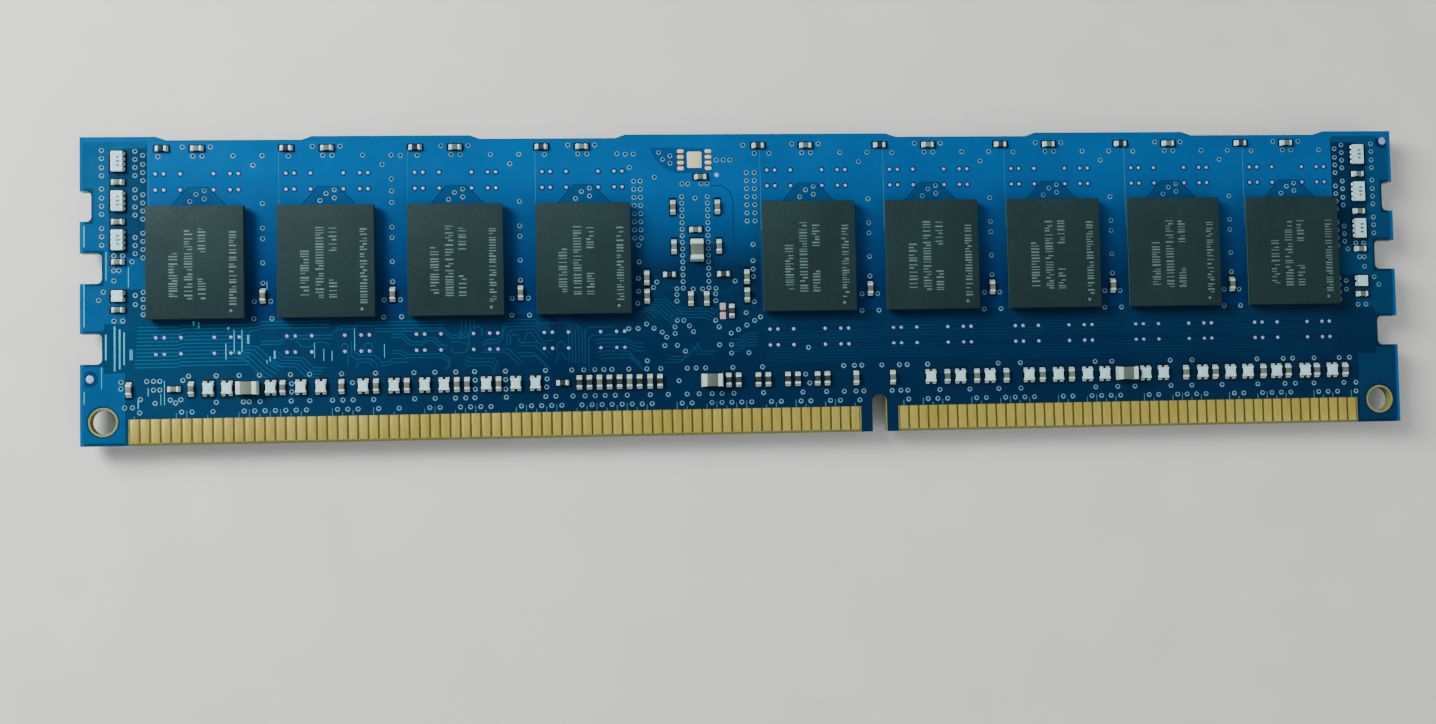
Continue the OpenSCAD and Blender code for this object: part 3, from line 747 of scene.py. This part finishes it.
PITCH = 12.6
CENTRES = [(low.x + high.x) / 2 for low, high in (TOP.boxes(n)[0] for n in dram_nodes(TOP))]
PACKAGE_HIGH_Y = TOP.boxes("dram_top_1")[0][1].y
MIDDLE_X = (UNDERSIDE.boxes("register_mould")[0][0].x + UNDERSIDE.boxes("register_mould")[0][1].x) / 2
POUR_TOP = BOARD_H - 0.52
POUR_LOW = 12.35
# A package's copper reaches this far left and right of its centre, round an opening of this half width
CELL_LEFT = 4.78
CELL_RIGHT = PITCH - CELL_LEFT
CELL_EDGE = 4.55
# Half the width of the copper at the board's middle
MIDDLE_HALF = 6.45
# Centre of the lower left corner hole, and the radius that the copper keeps from it
CORNER_HOLE = (2.175, 2.35)
CORNER_HOLE_GAP = 1.6


def make_pours(face):
    """Copper areas under the mask: one round each package, and those at the ends and the middle."""
    shapes, ends, middle, clear = Shapes(), Shapes(), Shapes(), Shapes()
    edge, top = CELL_EDGE, PACKAGE_HIGH_Y
    for i, c in enumerate(CENTRES):
        clear.plate([(c - 2.4, top - 0.3), (c + 2.75, top - 0.3), (c + 2.75, top + 0.15),
                     (c + 1.0, 25.3), (c - 0.85, 25.3), (c - 2.4, top + 0.15)], 0, POUR_H * 0.5)
        left = MIDDLE_X + MIDDLE_HALF if i == 4 else c - CELL_LEFT
        right = {3: MIDDLE_X - MIDDLE_HALF, 8: c + CELL_LEFT}.get(i, c + CELL_RIGHT)
        shapes.plate([
            (left, POUR_LOW), (c - edge, POUR_LOW), (c - edge, top - 0.4), (c - 2.5, top - 0.4),
            (c - 2.5, top + 0.15), (c - 0.9, 25.35), (c + 1.05, 25.35), (c + 2.85, top + 0.15),
            (c + 2.85, top - 0.4), (c + edge, top - 0.4), (c + edge, POUR_LOW),
            (right, POUR_LOW), (right, POUR_TOP), (left, POUR_TOP)], 0, POUR_H)
    # Ends of the board, outside the first and last packages, with room for the notches and the corner hole
    hole, gap = CORNER_HOLE, CORNER_HOLE_GAP
    bite = [(hole[0] + gap * math.cos(a), gap * math.sin(a)) for a in map(math.radians, range(180, -1, -15))]
    end = [(0.3, hole[1])] + [(x, hole[1] + y) for x, y in bite] + [
        (4.3, hole[1]), (4.3, 7.1), (2.3, 7.1), (2.3, 11.9), (4.3, 11.9), (4.3, 15.3), (6.3, 15.3),
        (6.3, 18.3), (2.8, 18.6), (2.8, 29.0), (4.6, 29.2), (6.35, 29.2), (6.35, POUR_TOP), (0.3, POUR_TOP),
        (0.3, 25.25), (1.3, 25.25), (1.3, 21.75), (0.3, 21.75), (0.3, 19.15), (2.3, 19.15), (2.3, 15.65),
        (0.3, 15.65), (0.3, 11.25), (2.3, 11.25), (2.3, 7.75), (0.3, 7.75)]
    foot = [(0.3, 0.3), (4.3, 0.3), (4.3, hole[1])]
    foot += [(x, hole[1] - y) for x, y in reversed(bite)] + [(0.3, hole[1])]
    for outline in (end, foot):
        ends.plate(outline, 0, POUR_H)
        ends.plate([(BOARD_L - x, y) for x, y in reversed(outline)], 0, POUR_H)
    # Middle of the board
    m, half = MIDDLE_X, MIDDLE_HALF
    middle.plate([(m - half, 16.9), (m - 2.0, 16.9), (m - 1.7, 17.4), (m + 1.6, 17.4), (m + 1.9, 16.9),
                  (m + half, 16.9), (m + half, POUR_TOP), (m - half, POUR_TOP)], 0, POUR_H)
    arch = [(m + math.cos(a), 15.6 + math.sin(a)) for a in map(math.radians, range(0, 181, 20))]
    middle.plate([(m + 0.3, 13.1), (m + 0.3, 14.4), (m + 1.0, 15.1)] + arch
                 + [(m - 1.0, 15.1), (m - 0.2, 14.4), (m - 0.2, 13.1)], 0, POUR_H)
    for label, piece, surface in (("package", shapes, MASK_POUR), ("end", ends, MASK_END),
                                  ("middle", middle, MASK_MIDDLE)):
        piece.make(label + "_copper_" + face.name, face, surface, "solder_mask")
    clear.plate([(m - 4.5, 29.0), (m - 3.9, 27.7), (m - 3.0, 26.9), (m - 1.8, 26.4), (m + 1.8, 26.5),
                 (m + 1.9, 27.1), (m + 1.0, 27.0), (m + 1.0, 28.9), (m - 1.0, 29.0)], 0, CLEARANCE_H)
    clear.make("copper_clearances_" + face.name, face, MASK_STEP, "solder_mask")


# Tracks between packages and contacts: copies, shift of each copy in X and Y, and the points of the first
TRACK_RUNS = (
    # Left end: a wide bus under the first package
    (12, 0.03, 0.36, ((5.2, 7.6), (9.2, 7.6), (9.6, 7.75), (16.2, 7.75))),
    (5, -0.32, -0.3, ((16.2, 9.6), (17.0, 9.5), (18.5, 8.0), (19.4, 7.35))),
    (3, 0.0, 0.33, ((16.2, 11.1), (17.0, 11.1), (17.5, 11.3), (24.0, 11.3))),
    (2, 0.0, 0.33, ((17.3, 9.7), (19.2, 9.7), (19.7, 10.2), (24.3, 10.2))),
    (4, -0.25, -0.3, ((18.9, 9.0), (19.5, 8.45), (21.4, 8.35), (22.4, 7.35), (23.6, 7.3))),
    # Second package to the third
    (2, 0.25, 0.33, ((24.3, 10.85), (25.0, 11.1), (26.2, 11.1), (26.5, 11.45), (35.2, 11.45))),
    (2, 0.0, -0.3, ((28.4, 11.1), (35.0, 11.1), (35.8, 10.35), (36.4, 10.35), (36.9, 10.8), (36.9, 11.9))),
    (2, -0.12, -0.33, ((30.1, 10.55), (31.1, 10.55), (31.95, 9.75), (33.0, 9.75), (33.6, 10.15),
        (34.2, 10.15), (34.95, 9.4), (35.5, 9.3))),
    (2, -0.1, -0.3, ((30.1, 8.9), (31.0, 8.9), (31.6, 8.5), (35.0, 8.5), (35.7, 8.0), (35.7, 7.5),
        (35.3, 7.2))),
    (2, 0.35, 0.35, ((26.1, 9.9), (26.1, 8.45), (26.5, 8.15), (27.9, 8.15), (28.5, 7.75), (28.6, 7.3))),
    (1, 0.0, 0.0, ((25.1, 9.3), (25.3, 9.65), (25.6, 9.65), (25.75, 9.4), (25.75, 7.5))),
    (1, 0.0, 0.0, ((27.3, 8.8), (27.3, 9.3), (27.5, 9.65), (28.0, 9.65), (28.15, 9.3), (28.15, 8.7))),
    (1, 0.0, 0.0, ((26.5, 7.2), (26.75, 7.8), (27.9, 7.8), (28.1, 7.4))),
    (2, 0.0, 0.36, ((28.9, 7.45), (29.7, 7.45), (30.1, 7.75), (31.6, 7.75))),
    (1, 0.0, 0.0, ((20.8, 10.0), (21.2, 9.5), (22.0, 9.35), (22.6, 9.8), (23.4, 9.85), (24.0, 9.6))),
    # Third package to the fourth
    (3, 0.42, 0.0, ((37.3, 11.9), (37.3, 10.7), (36.7, 10.1), (35.9, 10.0))),
    (1, 0.0, 0.0, ((35.8, 9.65), (36.6, 9.7), (37.6, 9.4))),
    (1, 0.0, 0.0, ((38.9, 10.3), (38.9, 10.95), (38.5, 11.2), (37.9, 11.1), (37.6, 10.6), (37.6, 9.3),
        (37.2, 8.6), (36.1, 8.6), (35.8, 9.1))),
    (2, 0.0, -0.35, ((38.9, 9.5), (39.3, 9.85), (40.4, 9.85), (40.9, 10.3), (41.0, 11.3), (41.3, 11.5))),
    (3, -0.2, -0.36, ((37.4, 8.3), (37.8, 8.0), (40.1, 8.0), (40.4, 7.6), (40.4, 7.2))),
    (2, 0.3, 0.3, ((38.8, 8.6), (41.2, 8.6), (42.6, 7.2))),
    (3, 0.0, 0.33, ((41.3, 11.15), (44.2, 11.15), (44.7, 10.6), (45.6, 10.6))),
    (2, 0.3, 0.33, ((42.4, 9.2), (44.1, 9.2), (45.4, 7.95))),
    (1, 0.0, 0.0, ((41.3, 9.3), (41.4, 10.2), (41.8, 10.8), (44.0, 10.85), (44.5, 10.1), (45.0, 9.6),
        (46.0, 9.75))),
    (1, 0.0, 0.0, ((41.65, 9.3), (41.7, 10.1), (42.0, 10.35), (42.4, 10.25), (42.6, 9.6), (43.1, 9.5))),
    (1, 0.0, 0.0, ((43.1, 9.8), (43.3, 10.4), (43.7, 10.55), (44.0, 10.2), (44.4, 9.5), (45.3, 9.3))),
    (2, 0.3, -0.35, ((42.3, 8.5), (43.9, 8.5), (45.3, 7.2))),
    (2, 0.0, -1.2, ((46.2, 8.7), (46.4, 9.5), (46.8, 9.6), (47.1, 9.2), (47.2, 8.8))),
    (1, 0.0, 0.0, ((44.2, 11.45), (47.0, 11.45))),
    # Fourth package
    (2, 0.35, -0.8, ((49.1, 7.3), (49.1, 10.6), (49.45, 10.95), (52.0, 10.95))),
    (3, 0.08, -0.38, ((50.1, 9.6), (50.4, 9.75), (53.1, 9.75), (54.0, 9.3), (54.9, 9.25))),
    (3, 0.15, -0.36, ((50.3, 8.4), (50.6, 8.55), (53.3, 8.55), (54.6, 7.25))),
    (5, -0.33, 0.0, ((48.8, 7.4), (48.8, 10.6), (48.4, 11.2), (47.6, 11.9))),
    # Middle: fans between the via field and the packages on both sides
    (4, 0.3, 0.28, ((53.9, 11.9), (54.8, 11.9), (55.6, 11.2))),
    (5, 0.25, 0.26, ((55.0, 12.6), (56.3, 12.6), (57.6, 11.4), (57.9, 11.0))),
    (4, -0.25, -0.3, ((58.4, 12.9), (59.4, 12.7), (61.8, 12.7), (62.4, 12.4))),
    (2, -0.3, -0.3, ((60.2, 9.3), (60.7, 8.4), (62.3, 8.35))),
    (5, 0.0, -0.3, ((66.4, 10.1), (65.3, 10.1), (64.6, 9.5), (63.6, 9.5))),
    (3, 0.3, 0.3, ((57.0, 7.3), (58.6, 7.3), (60.0, 8.6))),
)
# The same, for the long runs of the right half, which lie deeper
FAINT_RUNS = (
    (5, 0.2, 0.3, ((66.9, 7.3), (76.4, 7.3), (76.8, 7.6), (88.6, 7.6), (89.0, 7.3), (101.4, 7.3),
        (101.8, 7.6), (113.8, 7.6), (114.2, 7.3), (126.3, 7.3))),
    (4, 0.15, 0.32, ((67.3, 9.2), (78.6, 9.2), (79.1, 9.7), (84.6, 9.7), (85.0, 9.3), (95.2, 9.3),
        (95.6, 9.7), (109.0, 9.7), (109.4, 9.3), (127.0, 9.3))),
    (4, 0.0, 0.3, ((67.6, 10.95), (79.4, 10.95), (79.8, 10.75), (91.8, 10.75), (92.2, 10.95),
        (104.4, 10.95), (104.8, 10.75), (126.4, 10.75))),
    # Round the middle, on the copper
    (1, 0.0, 0.0, ((61.9, 25.1), (63.1, 25.1), (63.9, 24.5), (64.2, 23.4), (64.2, 18.4), (63.3, 17.2))),
    (3, 0.28, -0.2, ((54.9, 12.9), (55.6, 13.8), (55.9, 14.6), (57.2, 15.2), (58.2, 14.9))),
    (2, -0.3, 0.25, ((61.6, 13.3), (62.3, 14.1), (63.8, 14.1), (64.6, 14.9))),
)
TRACK_STEP = 0.0015


def copies_of(runs):
    return [[(x + k * dx, y + k * dy) for x, y in points]
            for count, dx, dy, points in runs for k in range(count)]


def meander(x, y, runs, pitch, height):
    """A length-matching serpentine with cut corners, going right from (x, y)."""
    cut = pitch * 0.35
    path = []
    for k in range(runs):
        x0, x1 = x + k * pitch, x + (k + 1) * pitch
        low, high = (y, y + height) if k % 2 == 0 else (y + height, y)
        step = math.copysign(cut, high - low)
        path += [(x0, low + step), (x0, high - step), (x0 + cut, high), (x1 - cut, high)]
    return path


def chevrons():
    """Tracks under each package that fan up into the gap in the copper above it."""
    paths, top = [], PACKAGE_HIGH_Y
    for c in CENTRES:
        for inset in (0.3, 0.62):
            y = 25.35 - 0.6 * inset
            foot, head = inset * 1.3, inset * 0.6
            paths.append([(c - 2.55 + foot, top), (c - 2.45 + foot, top + 0.15), (c - 0.85 + head, y),
                          (c + 1.0 - head, y), (c + 2.8 - foot, top + 0.15), (c + 2.9 - foot, top)])
    return paths


def tracks_by_contacts():
    """A short track up from each contact that has a via beside it."""
    top_y = TOP.boxes("contacts_top_long")[0][1].y
    return [[(x - 0.5, top_y + 0.06), (x - 0.5, top_y + 0.35 + 0.22 * (i % 3))]
            for i, x in enumerate(contact_vias())]


# Raised track edges near the left end, coloured with a painted glint: X, first Y, last Y, width
GLINT_RIDGES = (
    (0.42, 4.1, 5.35, 0.14), (0.42, 11.65, 15.8, 0.14), (0.42, 19.5, 21.6, 0.14), (2.07, 5.6, 7.7, 0.13),
    (2.48, 8.4, 10.9, 0.18), (2.52, 16.2, 19.0, 0.12), (3.32, 7.3, 11.7, 0.18), (3.8, 7.5, 11.4, 0.18),
    (4.22, 7.9, 11.1, 0.16), (4.8, 8.35, 9.4, 0.12), (4.98, 8.35, 9.4, 0.12), (4.65, 15.5, 17.5, 0.12),
    (13.95, 8.3, 9.85, 0.12), (14.75, 8.9, 11.2, 0.12), (15.5, 9.0, 11.2, 0.12), (16.1, 9.8, 10.7, 0.22),
    (18.65, 8.3, 9.1, 0.2), (18.2, 8.05, 8.5, 0.14), (17.9, 7.8, 8.2, 0.1), (22.5, 8.3, 9.8, 0.1),
    (23.4, 8.0, 9.2, 0.1), (24.2, 8.0, 9.0, 0.1), (26.4, 9.0, 11.2, 0.09), (6.5, 4.8, 5.6, 0.1),
    (7.7, 3.9, 5.0, 0.08), (8.05, 3.9, 6.3, 0.1), (5.55, 3.6, 4.4, 0.14), (29.3, 8.2, 9.6, 0.09),
    (17.95, 15.1, 15.95, 0.1), (10.85, 11.65, 12.1, 0.2), (11.35, 11.4, 12.0, 0.14), (14.2, 11.2, 11.5, 0.2))

CONTACT_VIA_Y = 3.2
# Gaps between contacts that have no via above them, counted from each group's first gap
LONG_GAPS_BARE = {1, 2, 3, 6, 8, 9, 17, 18, 22, 24, 26, 27, 30, 35, 36, 42, 51, 52, 55, 61, 64, 67, 70}
SHORT_GAPS_BARE = {1, 5, 6, 9, 14, 15, 18, 23, 24, 27, 32, 33, 36, 41, 42, 46}


def contact_vias():
    found = []
    for node, bare in (("contacts_top_long", LONG_GAPS_BARE), ("contacts_top_short", SHORT_GAPS_BARE)):
        contacts = TOP.boxes(node)
        pitch = contacts[1][0].x - contacts[0][0].x
        first = (contacts[0][0].x + contacts[0][1].x) / 2
        found += [first + (k + 0.5) * pitch for k in range(len(contacts)) if k not in bare]
    return found


# X of the vias above and below the row of chip parts
VIAS_OVER_ROW = (
    10.35, 13.0, 15.2, 17.15, 20.15, 22.0, 25.1, 28.4, 32.15, 34.2, 36.25, 38.1, 41.15, 45.1, 47.7, 48.9,
    50.0, 50.9, 51.7, 53.4, 55.2, 56.6, 59.25, 60.15, 61.1, 63.85, 66.85, 75.1, 76.2, 76.95, 79.0, 80.8,
    81.6, 83.7, 91.0, 93.3, 101.1, 102.85, 109.0, 111.3, 118.2, 121.0, 122.0, 124.3, 127.0, 128.1)
VIAS_UNDER_ROW = (
    7.15, 9.1, 13.0, 15.6, 16.15, 17.2, 20.2, 22.0, 24.2, 25.2, 26.2, 28.2, 32.2, 34.2, 36.2, 37.2, 38.1,
    41.2, 45.1, 46.1, 47.8, 49.0, 50.0, 51.0, 52.0, 53.2, 55.5, 57.3, 59.2, 60.4, 61.7, 62.7, 63.9, 66.9,
    70.9, 73.3, 75.1, 76.3, 77.1, 80.0, 80.9, 81.6, 84.9, 88.0, 91.0, 93.3, 101.1, 103.4, 105.2, 109.0,
    111.2, 114.4, 118.2, 121.1, 122.2, 124.2, 127.4, 128.7)
VIAS_IN_ROW = (
    (38.15, 5.85), (38.15, 4.95), (41.15, 5.85), (41.15, 4.9), (20.25, 5.8), (20.25, 5.0), (26.15, 5.8),
    (45.25, 5.85), (45.2, 5.05), (58.4, 5.45), (71.2, 5.9), (71.6, 5.0), (3.9, 6.2), (3.9, 5.55),
    (6.35, 6.25), (7.0, 6.25), (7.6, 6.25), (7.0, 5.4), (7.6, 5.4), (5.75, 4.5), (4.25, 3.7), (5.0, 3.7),
    (8.6, 4.4), (9.6, 4.4), (9.8, 6.3))

# Vias near each package, from its centre
VIAS_OVER_PACKAGE = (
    (-1.4, 29.3), (1.3, 29.3), (-0.4, 28.4), (0.5, 28.4), (3.5, 28.4), (-3.75, 28.35), (-0.1, 24.6),
    (0.7, 24.95), (-0.7, 23.9), (0.0, 23.6), (0.7, 24.15))
# Vias in each gap between packages, from the gap's middle
VIAS_IN_GAP = (
    (0, 28.4), (0, 23.65), (0, 21.2), (0, 20.15), (0, 17.75), (0, 15.75), (-0.85, 13.95), (0.75, 13.95),
    (-0.9, 12.25), (0.85, 12.25), (-0.9, 27.45))
VIAS_AT_GAPS = {1: ((0, 26.0), (0, 24.8), (0.9, 28.35))}

# Vias round the board's middle, from its centre line
VIAS_MIDDLE = (
    (2.25, 27.7), (2.95, 27.7), (3.6, 27.7), (-3.6, 28.5), (-3.2, 27.8), (-2.45, 28.15), (-2.45, 27.4),
    (-6.95, 28.35), (-6.15, 28.35), (-6.55, 27.0), (-4.05, 26.0), (-1.3, 25.3), (-0.7, 25.3), (0.65, 25.3),
    (1.25, 25.3), (0.0, 23.85), (-5.75, 19.15), (-5.75, 17.45), (-5.85, 15.8), (-5.85, 14.5), (-5.95, 13.3),
    (-4.0, 15.4), (-4.35, 14.85), (3.9, 15.4), (-2.0, 14.7), (-2.0, 14.1), (-2.0, 13.45), (1.95, 14.7),
    (1.9, 14.15), (1.9, 13.45), (-0.35, 14.65), (0.6, 14.65), (5.8, 19.1), (5.75, 17.45), (5.75, 16.6),
    (5.75, 15.85), (5.8, 13.3), (4.95, 12.2), (-6.9, 10.75), (-5.95, 10.75), (-5.1, 11.2), (-4.35, 10.75),
    (-3.55, 10.35), (-3.1, 9.85), (-2.0, 11.5), (-1.35, 11.5), (-2.25, 10.85), (-2.25, 10.2), (-0.8, 10.95),
    (-0.4, 10.35), (1.85, 11.45), (2.2, 10.8), (3.4, 10.15), (4.15, 10.5), (5.0, 10.95), (5.8, 11.4),
    (6.4, 11.75), (-3.3, 9.0), (-2.05, 9.0), (-1.25, 8.4), (2.2, 9.0), (3.4, 9.0), (3.4, 8.15),
    (5.15, 8.15), (-5.1, 7.5), (11.2, 8.6), (4.95, 29.2), (6.1, 28.35))
# Vias at the ends: X from the nearer end, and the Y values at that X
VIA_COLUMNS_AT_END = (
    (2.1, (29.0, 28.2, 27.3, 26.5, 25.2, 24.3, 23.5, 22.7, 21.3, 20.5, 19.65)),
    (5.3, (28.9, 28.1, 27.3, 26.5, 25.1, 24.3, 23.4, 22.6, 20.4, 19.6, 18.8, 14.7, 13.8)),
    (6.05, (28.5, 27.6, 26.8, 26.0, 24.6, 23.8, 23.0, 22.2, 20.8, 20.0, 19.2, 18.4, 15.0, 14.3, 13.5, 12.8)),
    (3.25, (26.35, 22.4, 18.6, 17.15, 16.15, 12.2)), (4.1, (26.35, 22.4, 18.6, 12.2)), (3.75, (17.15,)),
    (2.25, (15.05,)), (1.8, (14.25,)), (5.0, (18.0,)))


def via_spots():
    """X, Y of each via. They go through the board, so both faces share them."""
    spots = [(x, CONTACT_VIA_Y) for x in contact_vias()]
    spots += [(x, 6.7) for x in VIAS_OVER_ROW] + [(x, 4.1) for x in VIAS_UNDER_ROW]
    spots += list(VIAS_IN_ROW)
    for c in CENTRES:
        spots += [(c + x, y) for x, y in VIAS_OVER_PACKAGE]
    gaps = [(a + b) / 2 for a, b in zip(CENTRES, CENTRES[1:]) if b - a < PITCH * 1.2]
    for i, gap in enumerate(gaps):
        spots += [(gap + x, y) for x, y in VIAS_IN_GAP + VIAS_AT_GAPS.get(i, ())]
    spots += [(MIDDLE_X + x, y) for x, y in VIAS_MIDDLE]
    for shift, count in ((-6.15, 8), (-5.5, 8), (5.25, 7), (6.05, 7)):
        first = 25.6 if shift < 0 else 26.4
        spots += [(MIDDLE_X + shift, first - 0.82 * k) for k in range(count)]
    for shift in (-1.35, 1.25):
        spots += [(MIDDLE_X + shift, 24.0 - 0.66 * k) for k in range(15)]
    for distance, ys in VIA_COLUMNS_AT_END:
        spots += [(x, y) for x in (distance, BOARD_L - distance) for y in ys]
    return spots


def occupied(face):
    """Boxes on a face that hide or touch a via: packages and chip parts."""
    if face is TOP:
        kinds = ("end_array", "row_array", "resistor", "capacitor", "bulk_capacitor")
        names = dram_nodes(face) + ["vacant_sensor_pads"]
    else:
        kinds = ("underside_array", "underside_capacitor")
        names = dram_nodes(face) + ["register_mould", "sensor_body"]
    names += [kind + end for kind in kinds for end in ("_bodies", "_terminals")]
    return [box for name in names for box in face.boxes(name)]


def make_vias(face):
    rings, hole_shades, outer = Shapes(), Shapes(), VIA_RING_R
    blocks = occupied(face)
    for x, y in via_spots():
        hidden = any(low.x - outer < x < high.x + outer and low.y - outer < y < high.y + outer
                     for low, high in blocks)
        if not hidden:
            rings.via(x, y, outer, 0, RING_H)
            # The dark disc in the middle of the via's dimple is painted shade for the dark of its hole.
            hole_shades.stack([ring_circle(x, y, VIA_HOLE_R, z, 12) for z in (0, OPENING_H)])
    rings.make("via_rings_" + face.name, face, MASK_RING, "solder_mask")
    hole_shades.make("via_hole_shades_" + face.name, face, DARK_OPENING_SHADE, "solder_mask")


def make_tracks(name, face, paths, surface, width=0.115):
    """Raised lines in the mask. Each stands a little higher than the last, so that no two tops coincide."""
    shapes = Shapes()
    for i, path in enumerate(paths):
        shapes.ribbon(path, width, 0, TRACK_H + TRACK_STEP * (i % 6))
    shapes.make(name + "_" + face.name, face, surface, "solder_mask")


def make_glint_ridges():
    shapes = Shapes()
    for x, y0, y1, width in GLINT_RIDGES:
        shapes.ribbon([(x, y0), (x, y1)], width, 0, LAND_H)
    shapes.make("glint_ridges_top", TOP, MASK_GLINT, "solder_mask")


def cell_edges():
    """The raised edge of the copper beside each package, seen as a light line."""
    ends = (PACKAGE_HIGH_Y - 2.8, POUR_TOP - 0.9)
    return [[(c - CELL_LEFT + 0.09, y) for y in ends] for c in CENTRES]


def underside_tracks():
    """Parallel runs and serpentines between the packages and the contacts of the lower face."""
    paths = []
    for k in range(12):
        y = 7.5 + 0.36 * k
        paths.append([(5.5 + 0.3 * (k % 3), y), (35 - 0.4 * k, y), (35.4 - 0.4 * k, y + 0.36),
                      (57.5, y + 0.36),
                      (57.9, y), (88 + 0.3 * k, y), (88.4 + 0.3 * k, y + 0.36), (126.5, y + 0.36)])
    for k in range(9):
        first = 8 + PITCH * k if k < 4 else 68.5 + PITCH * (k - 4)
        paths.append(meander(first, POUR_LOW, 8, 0.6, 0.9))
    return paths


# ---- stage ----

CAMERA_AT = Vector((-17.245, -15.239, 162.586)) * MM
AIM_AT = Vector((-4.322, -7.904, 2.47)) * MM
ROLL = math.radians(-1.135)
LENS = 40.11


def make_camera():
    """Looks down on the board with the board's Y axis upright in the picture, then rolls a little."""
    camera = bpy.data.objects.new("camera", bpy.data.cameras.new("camera"))
    bpy.context.scene.collection.objects.link(camera)
    camera.data.lens = LENS
    camera.data.sensor_width = 36.0
    camera.data.clip_start = 0.005
    back = (CAMERA_AT - AIM_AT).normalized()
    up = Vector((0, 1, 0))
    up = (up - back * up.dot(back)).normalized()
    turn = Matrix((up.cross(back), up, back)).transposed().to_4x4()
    camera.matrix_world = Matrix.Translation(CAMERA_AT) @ turn @ Matrix.Rotation(ROLL, 4, "Z")
    bpy.context.scene.camera = camera


def make_light(name, at, aim, size, power, colour=(1.0, 1.0, 1.0)):
    data = bpy.data.lights.new(name, "AREA")
    data.size = size
    data.energy = power
    data.color = colour
    lamp = bpy.data.objects.new(name, data)
    bpy.context.scene.collection.objects.link(lamp)
    lamp.location = at
    lamp.rotation_euler = (Vector(aim) - Vector(at)).to_track_quat("-Z", "Y").to_euler()


def make_stage():
    mesh = bpy.data.meshes.new("floor")
    reach = 1.5
    corners = [(-reach, -reach, 0), (reach, -reach, 0), (reach, reach, 0), (-reach, reach, 0)]
    mesh.from_pydata(corners, [], [(0, 1, 2, 3)])
    floor = bpy.data.objects.new("floor", mesh)
    bpy.context.scene.collection.objects.link(floor)
    s = Surface("pale_floor", 0.7, specular=0.3)
    s.colour(s.ramp(s.noise(9.0, 3), (0.3, (0.66, 0.65, 0.63)), (0.7, (0.70, 0.69, 0.67))))
    mesh.materials.append(s.material)

    world = bpy.data.worlds.new("studio")
    world.use_nodes = True
    world.node_tree.nodes["Background"].inputs["Color"].default_value = (0.92, 0.96, 1.0, 1)
    world.node_tree.nodes["Background"].inputs["Strength"].default_value = 0.42
    bpy.context.scene.world = world
    make_light("key", (-0.42, 0.26, 0.36), (-0.03, 0.0, 0), 0.3, 3.9, (1.0, 0.99, 0.95))
    make_light("near", (-0.18, 0.09, 0.11), (-0.05, 0.0, 0), 0.08, 0.46, (0.97, 1.0, 0.97))
    make_light("fill", (0.45, -0.30, 0.40), (0.03, 0, 0), 0.5, 1.5, (0.94, 0.98, 1.0))


# ---- assembly ----

make_camera()
make_stage()
paint_cad_nodes()
for side in (TOP, UNDERSIDE):
    make_packages(side)
    make_balls("solder_balls_" + side.name, "dram_balls_" + side.name, side)
    make_pours(side)
    make_lands(side)
    make_vias(side)
make_footprints()
make_register()
make_sensor()
make_contacts()
make_value_bars()
make_tracks("tracks", TOP, copies_of(TRACK_RUNS) + chevrons(), MASK_TRACK)
make_tracks("buried_tracks", TOP, copies_of(FAINT_RUNS), MASK_FAINT)
make_glint_ridges()
make_tracks("tracks", UNDERSIDE, underside_tracks() + chevrons(), MASK_TRACK)
for side in (TOP, UNDERSIDE):
    make_tracks("contact_tracks", side, tracks_by_contacts() + cell_edges(), MASK_STUB, 0.1)
make_chip_parts("end_arrays", TOP, "end_array", ALUMINA, "alumina", flat_reach=0.2)
make_chip_parts("row_arrays", TOP, "row_array", ALUMINA, "alumina", reach=0.3, waist=0.1)
make_chip_parts("resistors", TOP, "resistor", COAT, "resistor_coat", 0.06, 0.3, 0.2)
make_chip_parts("capacitors", TOP, "capacitor", TITANATE, "capacitor_ceramic", 0.02, 0.32, 0.2)
make_chip_parts("bulk_capacitors", TOP, "bulk_capacitor", TITANATE, "capacitor_ceramic", 0.03, 0.2, 0.14)
make_chip_parts("arrays", UNDERSIDE, "underside_array", ALUMINA, "alumina", reach=0.28, flat_reach=0.2)
make_chip_parts("capacitors", UNDERSIDE, "underside_capacitor", TITANATE, "capacitor_ceramic", 0.02, 0.32,
                0.2)
